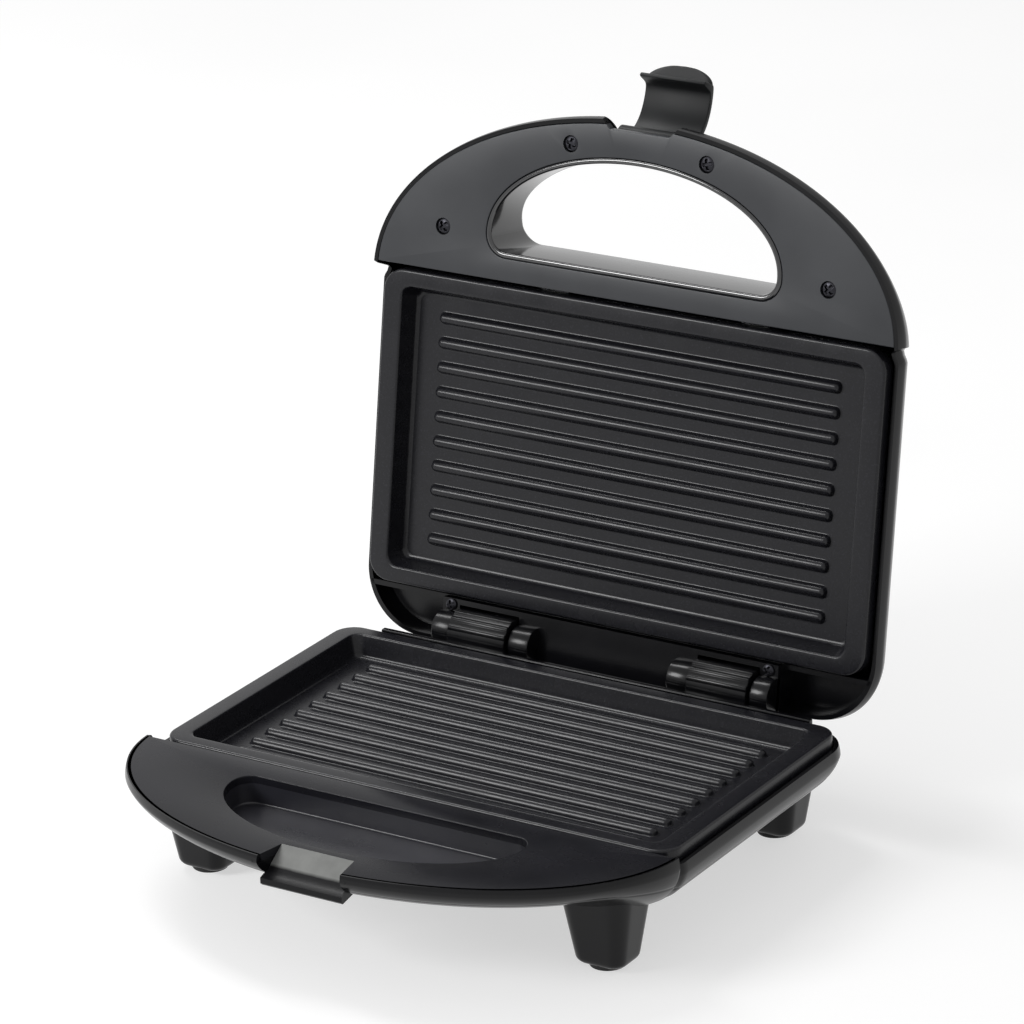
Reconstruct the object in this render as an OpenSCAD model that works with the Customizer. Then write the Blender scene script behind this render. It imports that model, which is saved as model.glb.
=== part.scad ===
// Sandwich toaster with two ribbed grill plates, a carrying handle and a front clip.
// Millimetres, +Z up, +Y to the hinge, origin on the floor under the middle of the object.
// Each half is drawn with its parting plane at z = 0 and its outside towards +z.

/* [Grill plates] */
// Width of a grill plate over its flange
plate_w = 224; // [216:1:226]
// Depth of a grill plate over its flange
plate_d = 126; // [122:1:127]
// Corner radius of the flange
plate_r = 9; // [6:0.5:11]
// Height of the upright skirt round the flange
skirt_h = 6.5; // [5:0.5:7]
// Wall thickness of the cast plate
cast_t = 2.4; // [2:0.1:2.8]
// Width of the cooking recess at its mouth
recess_w = 207; // [200:1:209]
// Depth of the cooking recess at its mouth, front to back
recess_d = 113; // [111:1:114]
// How far the recess walls lean in
recess_lean = 2.4; // [1:0.1:3]
// Number of cooking ribs
rib_count = 10; // [8:1:10]
// Distance from rib to rib
rib_pitch = 9.9; // [9:0.1:10]
// Length of a rib between the centres of its round ends
rib_len = 175.4; // [160:0.1:178]
// Width of a rib
rib_w = 4.6; // [3.6:0.1:5.2]
// Height of a rib over the recess floor
rib_h = 2.6; // [2:0.1:3]

/* [Housings] */
// Width of the housings beside the plates
body_w = 232; // [231:1:234]
// Width of the crescent-shaped handles
handle_w = 236; // [235:1:238]
// How far the crescent curve reaches in front of its widest line
handle_reach = 73; // [70:1:76]
// Depth of the lower housing below the parting plane
base_deep = 31; // [30:0.5:34]
// Depth of the lower housing at the hand rest
base_handle_deep = 17.5; // [16:0.5:19]
// Height of the upper housing over the parting plane
lid_deep = 34; // [33:0.5:37]
// Height of the upper housing at the handle
lid_handle_deep = 24; // [22:0.5:26]
// Wall thickness of the moulded housings
wall = 2.4; // [2:0.1:2.8]
// Height of the parting plane over the floor
parting_z = 47; // [45:1:50]
// Thickness of the crescent covers
cover_t = 3; // [2.5:0.1:3.4]

/* [Finger openings] */
// Half the width of the D-shaped openings
grip_half_w = 63.5; // [58:0.5:66]
// Reach of their curved side
grip_reach = 34; // [30:0.5:35]
// Depth of the finger pocket in the base
pocket_deep = 11.2; // [10:0.2:12]

/* [Hinge] */
// How far the hinge axis lies behind the middle of the plates
hinge_y = 76.5; // [76.5:0.1:78]
// Radius of the ridged hinge towers
knuckle_r = 9.3; // [8.5:0.1:9.5]
// Inner end of a hinge tower, from the middle
knuckle_in = 41.2; // [39:0.1:43]
// Outer end of a hinge tower, from the middle
knuckle_out = 67.5; // [65:0.1:68]
// Radius of the hinge pins
hinge_pin_r = 2.5; // [2:0.1:2.8]
// How far the lid is open at rest
open_angle = 100; // [90:1:104]

/* [Latch] */
// Width of the clip
latch_w = 29; // [27:0.5:30]
// Width of the notch at its mouth
notch_w = 36.5; // [35.5:0.5:38]
// How far the clip has swung from its hooked place
latch_angle = 120; // [60:1:120]
// Radius of the clip's pin
latch_pin_r = 1.5; // [1.2:0.1:1.6]

/* [Hidden] */
$fn = 32;
eps = 0.01;

// Depths below or above the parting plane
flange_z = 0.6;
cover_z = 0.3;
side_rim_z = 5.3;
floor_z = 9.4;
floor_back_z = floor_z + cast_t;

// Crescent: half an ellipse, its widest line just in front of the plates
crescent_y = -62.5;
cover_edge_y = -64.9;
crescent_end = asin((cover_edge_y - crescent_y) / handle_reach);
front_y = crescent_y - handle_reach;
base_back_y = 69;
lid_back_y = 84.5;
base_corner_r = 17;
lid_corner_r = 26;
neck_in = 1.8;
neck_y = -58;

// D-shaped openings
grip_y = -83.5;
grip_back_y = -76.2;
grip_corner_r = 7;
lip_t = 2.2;

// Latch pin, the notch it sits in and the shallow notch of the lid's cover
latch_pin_y = -127.4;
latch_pin_z = 11;
notch_y = -121.2;
notch_in_w = 31.5;
cover_notch_y = -130.3;
cover_notch_in_w = 26;
notch_wall = 2;
catch_bottom_z = 12.4;
latch_pin_len = notch_w + 2;

// Places of the repeated pieces
foot_at = [[-88, -68], [88, -68], [-85, 59], [85, 59]];
foot_top = 15;
foot_bottom = 10;
pad_t = 2;
base_head_z = 7.6;
plate_head_z = 24.4;
gland_x = -30;
gland_z = 18.5;
gland_r = 5;
boss_r = 8;
boss_in = 16.2;
boss_out = 0.6;
cover_screw_at = [[-85.7, -82.5], [-30.1, -122.3], [30.1, -122.3], [85.7, -82.5]];
base_screw_at = [[-70, -100], [-32, -121.5], [32, -121.5], [70, -100]];
plate_screw_at = [[-90, -40], [90, -40], [-90, 40], [90, 40]];
hinge_screw_at = [71.9, 66.9];
tab_at = [[-45, -68.5], [45, -68.5]];
lens_at = [[-13, -40], [13, -40]];

// Places of the lower half and of the open lid; the shift centres the open object
shift_y = -6.66;
module base_half() translate([0, shift_y, parting_z]) mirror([0, 0, 1]) children();
module lid_half() translate([0, hinge_y + shift_y, parting_z]) rotate([-open_angle, 0, 0])
  translate([0, -hinge_y, 0]) children();
module mirrored() {
  children();
  mirror([1, 0, 0]) children();
}

// Smooth step from 0 to 1, and the depth of a housing between handle and body
function ease(t) = let (u = min(1, max(0, t))) u * u * (3 - 2 * u);
function deep(y, body, handle) = handle + (body - handle) * ease((y + 100) / 45);

// Outline of a housing, counter-clockwise, as [x, y, height of its rim]
function arc(cx, cy, r, a0, a1, n, z) =
  [for (i = [0:n]) let (a = a0 + (a1 - a0) * i / n) [cx + r * cos(a), cy + r * sin(a), z]];
function crescent(n, z) = [for (i = [0:n])
  let (a = 180 - crescent_end + (180 + 2 * crescent_end) * i / n)
  [handle_w / 2 * cos(a), crescent_y + handle_reach * sin(a), z]];
function side(x, y0, y1, n) = [for (i = [0:n - 1]) [x, y0 + (y1 - y0) * i / n, side_rim_z]];
function outline(back, r) = let (x = body_w / 2, y = back - r) concat(
  crescent(32, cover_z),
  [[x - neck_in, crescent_y, side_rim_z]],
  side(x, neck_y, y, 5),
  arc(x - r, y, r, 0, 90, 6, side_rim_z),
  [for (i = [1:5]) [(x - r) * (1 - i / 3), back, side_rim_z]],
  arc(-x + r, y, r, 90, 180, 6, side_rim_z),
  [for (q = side(-x, y, neck_y, 5)) if (q[1] < y) q],
  [[-x, neck_y, side_rim_z], [-x + neck_in, crescent_y, side_rim_z]]);

// A housing is rings of its outline, drawn in towards a centre as they go deeper
shell_y = -20;
shell_reach = 106;
outer_rings = concat([[0.991, 0]],
  [for (p = [9, 18, 27, 36, 45, 54, 63, 72, 81, 86, 89]) [pow(cos(p), 1 / 3), sin(p)]]);
inner_rings = [for (p = [0, 20, 40, 60, 78, 87])
  [(1 - wall / shell_reach) * pow(cos(p), 1 / 3), sin(p)]];
function ring(shape, r, body, handle) = [for (q = shape)
  let (y = shell_y + (q[1] - shell_y) * r[0])
  [q[0] * r[0], y, q[2] + (deep(y, body, handle) - q[2]) * r[1]]];
function strip(a, b, n) = [for (i = [0:n - 1])
  let (k = (i + 1) % n) each [[a + i, b + i, b + k], [a + i, b + k, a + k]]];
function fan(a, c, n) = [for (i = [0:n - 1]) [a + i, c, a + (i + 1) % n]];
function flip(faces) = [for (f = faces) [f[2], f[1], f[0]]];

// Hollow housing, open at the parting plane
module shell(back, corner, body, handle) {
  shape = outline(back, corner);
  n = len(shape);
  no = len(outer_rings);
  ni = len(inner_rings);
  inside = no * n + 1;
  points = concat(
    [for (r = outer_rings) each ring(shape, r, body, handle)],
    [[0, shell_y, body]],
    [for (r = inner_rings) each ring(shape, r, body - wall, handle - wall)],
    [[0, shell_y, body - wall]]);
  faces = concat(
    [for (j = [0:no - 2]) each strip(j * n, (j + 1) * n, n)],
    fan((no - 1) * n, no * n, n),
    flip([for (j = [0:ni - 2]) each strip(inside + j * n, inside + (j + 1) * n, n)]),
    flip(fan(inside + (ni - 1) * n, inside + ni * n, n)),
    strip(inside, 0, n));
  polyhedron(points, faces, convexity = 6);
}

// The same housing filled up to above its rim, to trim what stands on its inside
trim_gap = 0.6;
trim_in = 0.993;
trim_top = 0.984;
module shell_solid(back, corner, body, handle) {
  shape = outline(back, corner);
  n = len(shape);
  rings = [for (j = [0 : 2 : len(outer_rings) - 1]) outer_rings[j]];
  no = len(rings) + 1;
  points = concat(
    [for (q = shape) [q[0] * trim_top, shell_y + (q[1] - shell_y) * trim_top, -1]],
    [for (r = rings) each ring(shape, [r[0] * trim_in, r[1]], body - trim_gap, handle - trim_gap)],
    [[0, shell_y, body - trim_gap], [0, shell_y, -1]]);
  faces = concat(
    [for (j = [0:no - 2]) each strip(j * n, (j + 1) * n, n)],
    fan((no - 1) * n, no * n, n),
    flip(fan(0, no * n + 1, n)));
  polyhedron(points, faces, convexity = 4);
}

// Flat shapes
module round_rect(w, d, r) {
  square([w - 2 * r, d], center = true);
  square([w, d - 2 * r], center = true);
  for (x = [-1, 1], y = [-1, 1]) translate([x * (w / 2 - r), y * (d / 2 - r)]) circle(r);
}
module crescent_shape(inset) polygon(concat(
  [for (i = [0:64]) let (a = 180 + 180 * i / 64)
    [(handle_w / 2 - inset) * cos(a), crescent_y + (handle_reach - inset) * sin(a)]],
  [[handle_w / 2 - inset, crescent_y + 5], [-handle_w / 2 + inset, crescent_y + 5]]));
module grip_shape(grow) {
  polygon([for (i = [0:48]) let (a = 180 + 180 * i / 48)
    [(grip_half_w + grow) * cos(a), grip_y + (grip_reach + grow) * sin(a)]]);
  x = grip_half_w - grip_corner_r;
  y = grip_back_y - grip_corner_r;
  translate([-x, y - 1]) square([2 * x, grip_corner_r + grow + 1]);
  translate([-grip_half_w - grow, grip_y - 1]) square([2 * (grip_half_w + grow), 1.4]);
  for (s = [-1, 1]) translate([s * x, y]) circle(grip_corner_r + grow);
}
module notch_shape(grow = 0, inner_w = notch_in_w, inner_y = notch_y) polygon([
  [-notch_w / 2 - grow, front_y - 5], [notch_w / 2 + grow, front_y - 5],
  [notch_w / 2 + grow, front_y], [inner_w / 2 + grow, inner_y + grow],
  [-inner_w / 2 - grow, inner_y + grow], [-notch_w / 2 - grow, front_y]]);

// Ribbed grill plate: flange, skirt, leaning recess walls and ribs
module recess(grow, top, bottom) hull() {
  translate([0, 0, top]) linear_extrude(eps)
    round_rect(recess_w + 2 * grow, recess_d + 2 * grow, 4 + grow, $fn = 24);
  translate([0, 0, bottom - eps]) linear_extrude(eps) round_rect(recess_w + 2 * grow - 2 * recess_lean,
    recess_d + 2 * grow - 2 * recess_lean, 4 + grow - recess_lean / 2, $fn = 24);
}
module cooking_ribs() for (i = [0:rib_count - 1]) {
  y = (i - (rib_count - 1) / 2) * rib_pitch;
  translate([0, y, floor_z - rib_h + rib_w / 2]) {
    rotate([0, 90, 0]) cylinder(r = rib_w / 2, h = rib_len, center = true, $fn = 20);
    for (s = [-1, 1]) translate([s * rib_len / 2, 0, 0]) sphere(rib_w / 2, $fn = 20);
  }
}
module grill_plate() {
  difference() {
    union() {
      translate([0, 0, flange_z]) linear_extrude(skirt_h) round_rect(plate_w, plate_d, plate_r);
      recess(cast_t, flange_z + 1, floor_back_z);
    }
    translate([0, 0, flange_z + cast_t]) linear_extrude(skirt_h) difference() {
      round_rect(plate_w - 2 * cast_t, plate_d - 2 * cast_t, plate_r - cast_t);
      round_rect(recess_w + 2 * cast_t - 2, recess_d + 2 * cast_t - 2, 4);
    }
    recess(0, flange_z - eps, floor_z);
  }
  cooking_ribs();
  for (q = plate_screw_at) translate([q[0], q[1], floor_back_z - eps]) difference() {
    cylinder(r = 4, h = 8);
    translate([0, 0, 1]) cylinder(r = 1.5, h = 8);
  }
}

// Tubular heating element, bent to three sides of a rectangle, with its two cold ends
heater_r = 3.2;
heater_x = 74;
heater_y = 34;
module bar(p, q) {
  v = q - p;
  translate(p) rotate([0, 90, atan2(v[1], v[0])]) cylinder(r = heater_r, h = norm(v));
}
module heater() {
  bend = 14;
  translate([0, 0, floor_back_z + heater_r + 0.1]) {
    bar([-heater_x, 20, 0], [-heater_x, -heater_y + bend, 0]);
    bar([heater_x, 20, 0], [heater_x, -heater_y + bend, 0]);
    bar([-heater_x + bend, -heater_y, 0], [heater_x - bend, -heater_y, 0]);
    for (s = [-1, 1]) translate([s * (heater_x - bend), -heater_y + bend, 0])
      rotate([0, 0, s > 0 ? -90 : 180]) rotate_extrude(angle = 90) translate([bend, 0]) circle(heater_r);
    for (s = [-1, 1]) {
      translate([s * (heater_x - bend), 20, 0])
        rotate([0, 0, s > 0 ? 0 : 90]) rotate_extrude(angle = 90) translate([bend, 0]) circle(heater_r);
      bar([s * 34, 20 + bend, 0], [s * (heater_x - bend), 20 + bend, 0]);
      translate([s * 34, 20 + bend, 0]) rotate([0, -s * 90, 0]) cylinder(r = 1.2, h = 9);
    }
  }
}

// Folded tray of bright sheet steel behind the heater
tray_w = 206;
tray_d = 104;
tray_top = floor_back_z + 0.6;
tray_bottom = floor_back_z + 8;
sheet_t = 0.8;
tray_back = tray_bottom + sheet_t;
module reflector(tabs) difference() {
  union() {
    hull() {
      translate([0, 0, tray_top]) linear_extrude(eps) round_rect(tray_w, tray_d, 6, $fn = 16);
      translate([0, 0, tray_bottom]) linear_extrude(sheet_t)
        round_rect(tray_w - 6, tray_d - 6, 4, $fn = 16);
    }
    for (q = tabs) translate([q[0] - 6, q[1] - 5, tray_bottom]) cube([12, 30, sheet_t]);
  }
  hull() {
    translate([0, 0, tray_top - eps]) linear_extrude(eps)
      round_rect(tray_w - 1.6, tray_d - 1.6, 5.2, $fn = 16);
    translate([0, 0, tray_bottom - eps]) linear_extrude(eps)
      round_rect(tray_w - 7.6, tray_d - 7.6, 3.2, $fn = 16);
  }
  for (q = plate_screw_at) translate([q[0], q[1], tray_bottom - 1]) cylinder(r = 1.7, h = 3);
  for (q = tabs) translate([q[0], q[1], tray_bottom - 1]) cylinder(r = 1.7, h = 3);
  translate([0, 6, tray_bottom - 1]) cylinder(r = 11, h = 3);
}
module screw(head_r, head_h, shank_r, shank_h) difference() {
  union() {
    cylinder(r1 = head_r * 0.72, r2 = head_r, h = head_h * 0.4);
    translate([0, 0, head_h * 0.4]) cylinder(r = head_r, h = head_h * 0.6);
    translate([0, 0, head_h - eps]) cylinder(r = shank_r, h = shank_h);
  }
  for (a = [0, 90]) rotate([0, 0, a]) cube([head_r * 1.2, head_r * 0.28, head_h * 1.1], center = true);
}

// Post on the inside of a housing
module screw_post(r, z0, z1) translate([0, 0, z0]) cylinder(r = r, h = z1 - z0);

// ---- Lower half ----
// Side view of a tower below its barrel, from the hinge axis: it leans forward into the rear wall
barrel_r = knuckle_r - 0.5;
tower_side = [[-barrel_r, 0], [0, 0], [0, 20], [-3, 22.5], [-21.5, 25.5], [-15, 19.5], [-10.5, 12]];
module hinge_tower() {
  w = knuckle_out - knuckle_in;
  ridge_r = 1.4;
  translate([(knuckle_in + knuckle_out) / 2, hinge_y, 0]) {
    rotate([0, 90, 0]) cylinder(r = barrel_r, h = w, center = true, $fn = 64);
    // raised ridges round the upper front of the barrel
    for (a = [12, 36, 60]) rotate([-a, 0, 0]) translate([0, 0, -knuckle_r + ridge_r])
      rotate([0, 90, 0]) cylinder(r = ridge_r, h = w - 0.8, center = true);
    rotate([90, 0, 90]) linear_extrude(w, center = true) polygon(tower_side);
    translate([-w / 2, -eps, 0]) cube([w, barrel_r + eps, 14]);
  }
}
// Round boss where the cord enters, cut clear of the back of the plate
boss_clear_y = 59.5;
module cord_boss() difference() {
  translate([gland_x, base_back_y - boss_in, gland_z]) rotate([-90, 0, 0])
    cylinder(r = boss_r, h = boss_in + boss_out);
  translate([gland_x - boss_r, 0, 0]) cube([2 * boss_r, boss_clear_y, floor_back_z + 0.5]);
}
module foot() translate([0, 0, base_deep - 16]) linear_extrude(parting_z - base_deep + 16 - pad_t,
  scale = foot_bottom / foot_top) round_rect(2 * foot_top, 2 * foot_top - 4, 7, $fn = 24);
module feet() difference() {
  for (q = foot_at) translate(q) foot();
  translate([-tray_w / 2 - 1, -tray_d / 2 - 1, 0]) cube([tray_w + 2, tray_d + 2, tray_back + 0.2]);
}
module base_housing() {
  color("#141416") base_half() difference() {
    union() {
      shell(base_back_y, base_corner_r, base_deep, base_handle_deep);
      intersection() {
        shell_solid(base_back_y, base_corner_r, base_deep, base_handle_deep);
        union() {
          for (q = base_screw_at) translate(q) screw_post(5, cover_t + cover_z, base_deep);
          for (q = plate_screw_at) translate(q) screw_post(5, tray_back, base_deep);
          translate([0, 0, cover_t + cover_z]) linear_extrude(base_deep) notch_walls();
        }
      }
      translate([0, 0, cover_t + cover_z]) linear_extrude(pocket_deep + 1.8 - cover_t) grip_shape(2);
      feet();
      mirrored() hinge_tower();
      cord_boss();
    }
    translate([0, 0, -1]) linear_extrude(pocket_deep + cover_z + 1) grip_shape(0);
    translate([0, 0, -1]) linear_extrude(cover_t + cover_z + 1) crescent_shape(1.2);
    translate([0, 0, -1]) linear_extrude(base_deep) notch_shape();
    mirrored() translate([knuckle_in - 1, hinge_y, 0]) rotate([0, 90, 0])
      cylinder(r = hinge_pin_r + 0.05, h = knuckle_out - knuckle_in + 2, $fn = 48);
    for (q = base_screw_at) translate([q[0], q[1], 0]) {
      cylinder(r = 1.6, h = base_deep);
      translate([0, 0, base_head_z]) cylinder(r = 3.6, h = base_deep);
    }
    for (q = plate_screw_at) translate([q[0], q[1], 0]) {
      cylinder(r = 1.7, h = base_deep);
      translate([0, 0, plate_head_z]) cylinder(r = 3.8, h = 8);
    }
    translate([gland_x, base_back_y - boss_in - 1, gland_z]) rotate([-90, 0, 0])
      cylinder(r = gland_r, h = boss_in + 2);
  }
}
module notch_walls() difference() {
  notch_shape(notch_wall);
  notch_shape();
}
module base_handle_cover() {
  color("#2b2a2e") base_half() difference() {
    translate([0, 0, cover_z]) linear_extrude(cover_t) difference() {
      intersection() {
        crescent_shape(1.3);
        translate([-200, -200]) square([400, 200 + cover_edge_y]);
      }
      grip_shape(0);
      notch_shape();
    }
    for (q = base_screw_at) translate([q[0], q[1], cover_z + 1]) cylinder(r = 1.3, h = 4);
  }
}
module base_catch() {
  color("#3a3a3c") base_half() intersection() {
    rotate([90, 0, 90]) linear_extrude(notch_w, center = true) polygon([
      [notch_y, cover_z], [notch_y, catch_bottom_z], [front_y + 3.4, catch_bottom_z],
      [front_y + 2.6, catch_bottom_z - 0.8], [front_y + 2.6, 9.4], [front_y + 4.4, 8.4],
      [front_y + 6.6, 7.6]]);
    linear_extrude(base_deep) notch_shape();
  }
}
module base_plate() { color("#37363b") base_half() grill_plate(); }
module base_heater() { color("#8d8b88") base_half() heater(); }
module base_reflector() { color("#b9babb") base_half() reflector([]); }
module thermostat() {
  color("#c9c2ae") base_half() translate([0, 6, floor_back_z + 0.05]) {
    cylinder(r = 8, h = 3);
    translate([0, 0, 3]) cylinder(r = 9, h = 7);
    for (s = [-1, 1]) translate([s * 4, 0, 11]) cube([1, 6, 3], center = true);
  }
}
module thermal_fuse() {
  color("#e6e0d0") base_half() translate([-20, 14, floor_back_z + 2.6]) rotate([0, 90, 0]) {
    cylinder(r = 2.4, h = 18, center = true);
    cylinder(r = 0.6, h = 30, center = true);
  }
}
module terminal_block() {
  color("#e8e8e4") base_half() translate([-60, 28, tray_back]) difference() {
    cube([22, 9, 6]);
    for (x = [5.5, 16.5]) {
      translate([x, -1, 3]) rotate([-90, 0, 0]) cylinder(r = 1.7, h = 12);
      translate([x, 4.5, 3]) cylinder(r = 1.5, h = 4);
    }
  }
}
module base_plate_screws() {
  color("#9a9a98") base_half() for (q = plate_screw_at)
    translate([q[0], q[1], plate_head_z + 2.2]) mirror([0, 0, 1]) screw(3.4, 2.2, 1.5, 11);
}
module base_screws() {
  color("#9a9a98") base_half() for (q = base_screw_at)
    translate([q[0], q[1], base_head_z + 2]) mirror([0, 0, 1]) screw(3.2, 2, 1.3, 6.2);
}
module foot_pads() {
  color("#1c1c1c") base_half() for (q = foot_at) translate([q[0], q[1], parting_z - pad_t])
    cylinder(r = 7, h = pad_t);
}
module cord_gland() {
  color("#18181a") base_half() translate([gland_x, base_back_y + boss_out, gland_z]) rotate([-90, 0, 0])
    difference() {
    union() {
      translate([0, 0, -boss_in]) cylinder(r = gland_r - 0.05, h = boss_in + 1);
      cylinder(r = 6.6, h = 1.6);
      translate([0, 0, 1.5]) cylinder(r1 = 5.6, r2 = 4.6, h = 6.5);
    }
    translate([0, 0, -boss_in - 1]) cylinder(r = 3.5, h = boss_in + 12);
  }
}

// ---- Upper half, drawn closed and then turned open ----
slot_in = knuckle_in - 0.7;
slot_out = knuckle_out + 0.7;
slot_r = knuckle_r + 0.7;
ear_r = 7.1;
ear_w = 7.8;
inner_ear_w = 9;
pad_half_w = slot_out + ear_w;
pad_z = 0.8;
pad_front_y = 64.4;
rib_t = 2;
margin_floor_z = 13;
module hinge_ear(x0, x1) translate([x0, hinge_y, 0]) rotate([0, 90, 0]) {
  cylinder(r = ear_r, h = x1 - x0, $fn = 48);
  translate([-margin_floor_z - 3, -ear_r, 0]) cube([margin_floor_z + 3, 2 * ear_r, x1 - x0]);
}
// Raised pad between the ears, and the sunk floors beside it behind the plate
module rear_margin() {
  x = body_w / 2;
  wall_h = margin_floor_z + rib_t;
  translate([-pad_half_w, pad_front_y, pad_z]) cube([2 * pad_half_w, 24, rib_t]);
  translate([-pad_half_w, pad_front_y, pad_z]) cube([2 * pad_half_w, rib_t, wall_h - pad_z]);
  translate([-x, pad_front_y, side_rim_z]) cube([2 * x, rib_t, wall_h - side_rim_z]);
  translate([-x, pad_front_y, margin_floor_z]) cube([2 * x, 24, rib_t]);
  mirrored() translate([pad_half_w - rib_t, pad_front_y, pad_z]) cube([rib_t, 24, wall_h - pad_z]);
}
module lid_housing() {
  color("#141416") lid_half() difference() {
    union() {
      shell(lid_back_y, lid_corner_r, lid_deep, lid_handle_deep);
      intersection() {
        shell_solid(lid_back_y, lid_corner_r, lid_deep, lid_handle_deep);
        union() {
          linear_extrude(lid_deep) difference() {
            grip_shape(lip_t);
            grip_shape(0);
          }
          for (q = cover_screw_at) translate(q) screw_post(4, cover_t + cover_z, lid_deep);
          for (q = tab_at) translate(q) screw_post(4, tray_back, lid_deep);
          translate([0, 0, cover_t + cover_z]) linear_extrude(lid_deep) notch_walls();
          mirrored() translate(hinge_screw_at) screw_post(3.4, pad_z, margin_floor_z);
          rear_margin();
        }
      }
      mirrored() {
        hinge_ear(slot_out, slot_out + ear_w);
        hinge_ear(slot_in - inner_ear_w, slot_in);
      }
    }
    translate([0, 0, -1]) linear_extrude(cover_t + cover_z + 1) difference() {
      crescent_shape(2.8);
      grip_shape(lip_t);
    }
    translate([0, 0, -1]) linear_extrude(lid_deep + 2) grip_shape(0);
    translate([0, 0, cover_t + cover_z]) linear_extrude(lid_deep) notch_shape();
    translate([0, 0, -1]) linear_extrude(lid_deep) notch_shape(0, cover_notch_in_w, cover_notch_y);
    mirrored() translate([slot_in, hinge_y - slot_r, -1])
      cube([slot_out - slot_in, 30, margin_floor_z + 1]);
    mirrored() translate([slot_in - 6, hinge_y, 0]) rotate([0, 90, 0])
      cylinder(r = hinge_pin_r, h = 50, $fn = 48);
    translate([0, latch_pin_y, latch_pin_z]) rotate([0, 90, 0])
      cylinder(r = latch_pin_r, h = latch_pin_len, center = true, $fn = 32);
    for (q = cover_screw_at) translate([q[0], q[1], 0]) cylinder(r = 1.3, h = 12);
    for (q = tab_at) translate([q[0], q[1], tray_bottom]) cylinder(r = 1.3, h = 8);
    for (q = lens_at) translate([q[0], q[1], 10]) cylinder(r = 3.2, h = 30);
    mirrored() translate([hinge_screw_at[0], hinge_screw_at[1], 0]) cylinder(r = 1.2, h = 9);
  }
}
module lid_handle_cover() {
  color("#4f5154") lid_half() difference() {
    translate([0, 0, cover_z]) linear_extrude(cover_t) difference() {
      intersection() {
        crescent_shape(2.9);
        translate([-200, -200]) square([400, 200 + cover_edge_y]);
      }
      grip_shape(lip_t + 0.1);
      notch_shape(0, cover_notch_in_w, cover_notch_y);
    }
    for (q = cover_screw_at) translate([q[0], q[1], -1]) {
      cylinder(r = 1.6, h = 8);
      cylinder(r = 3.3, h = 2.8);
    }
  }
}
module lid_cover_screws() {
  color("#1b1b1d") lid_half() for (q = cover_screw_at)
    translate([q[0], q[1], cover_z + 0.1]) screw(3.1, 1.4, 1.25, 9);
}
module lid_plate() { color("#37363b") lid_half() grill_plate(); }
module lid_heater() { color("#8d8b88") lid_half() heater(); }
module lid_reflector() { color("#b9babb") lid_half() reflector(tab_at); }
module lid_plate_screws() {
  color("#9a9a98") lid_half() {
    for (q = plate_screw_at) translate([q[0], q[1], tray_back + 1.6]) mirror([0, 0, 1])
      screw(3.2, 1.6, 1.5, 6);
    for (q = tab_at) translate([q[0], q[1], tray_bottom - 1.6]) screw(3.2, 1.6, 1.3, 7);
  }
}
module hinge_pins() {
  color("#a5a6a8") lid_half() mirrored() translate([slot_in - 6, hinge_y, 0]) rotate([0, 90, 0])
    cylinder(r = hinge_pin_r, h = pad_half_w - slot_in + 5.6, $fn = 48);
}
module hinge_screws() {
  color("#1b1b1d") lid_half() mirrored()
    translate([hinge_screw_at[0], hinge_screw_at[1], pad_z - 1.2]) screw(2.4, 1.2, 1.2, 8);
}
module lens(q) translate([q[0], q[1], 0]) {
  translate([0, 0, lid_deep]) cylinder(r1 = 4.4, r2 = 3.6, h = 1.2);
  translate([0, 0, lid_deep - 6]) cylinder(r = 3.15, h = 6 + eps);
}
module power_lens() { color("#b3201c") lid_half() lens(lens_at[0]); }
module ready_lens() { color("#2f9e3c") lid_half() lens(lens_at[1]); }
module lamp_holder() {
  color("#d8d4c8") lid_half() difference() {
    translate([-22, -48, tray_bottom + 1]) cube([44, 16, 6]);
    for (q = lens_at) translate([q[0], q[1], tray_bottom + 2.4]) cylinder(r = 3, h = 8);
  }
}
module latch_pin() {
  color("#a5a6a8") lid_half() translate([0, latch_pin_y, latch_pin_z]) rotate([0, 90, 0])
    cylinder(r = latch_pin_r, h = latch_pin_len, center = true, $fn = 32);
}

// Clip, drawn hooked under the catch and then swung open: barrel, curved blade, hook, finger tab
hook_z = -catch_bottom_z - 0.5;
blade = [[-128.2, 9.2], [-131.5, 8.9], [-134.2, 6.2], [-135.7, 2], [-136, -2.4], [-135.2, -7],
  [-133.6, hook_z + 1.4], [-132, hook_z]];
blade_back = [[-133.4, -16.2], [-135.7, -12], [-137.4, -7.4], [-138.3, -2.4], [-138, 2.8], [-136, 8],
  [-132.8, 11.2], [-128.2, 11.9]];
module latch() {
  color("#55575a") lid_half() translate([0, latch_pin_y, latch_pin_z]) rotate([-latch_angle, 0, 0])
    difference() {
      union() {
        rotate([0, 90, 0]) cylinder(r = 3.4, h = latch_w, center = true, $fn = 40);
        translate([0, -latch_pin_y, -latch_pin_z]) {
          rotate([90, 0, 90]) linear_extrude(latch_w, center = true) offset(0.4, $fn = 16) offset(-0.4)
            polygon(concat(blade, [[-126.6, hook_z], [-126.2, hook_z - 0.8], [-126.9, hook_z - 2],
              [-131, hook_z - 2.4]], blade_back));
          intersection() {
            rotate([90, 0, 90]) linear_extrude(latch_w, center = true) polygon([[-130.6, -14.4],
              [-132.6, -24], [-134.8, -24], [-133.6, -14.4]]);
            translate([0, 0, -14.4]) rotate([90, 0, 0]) linear_extrude(200)
              scale([1, 7.4 / (latch_w / 2)]) circle(latch_w / 2, $fn = 64);
          }
        }
      }
      rotate([0, 90, 0]) cylinder(r = latch_pin_r + 0.05, h = 60, center = true, $fn = 32);
    }
}

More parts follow.
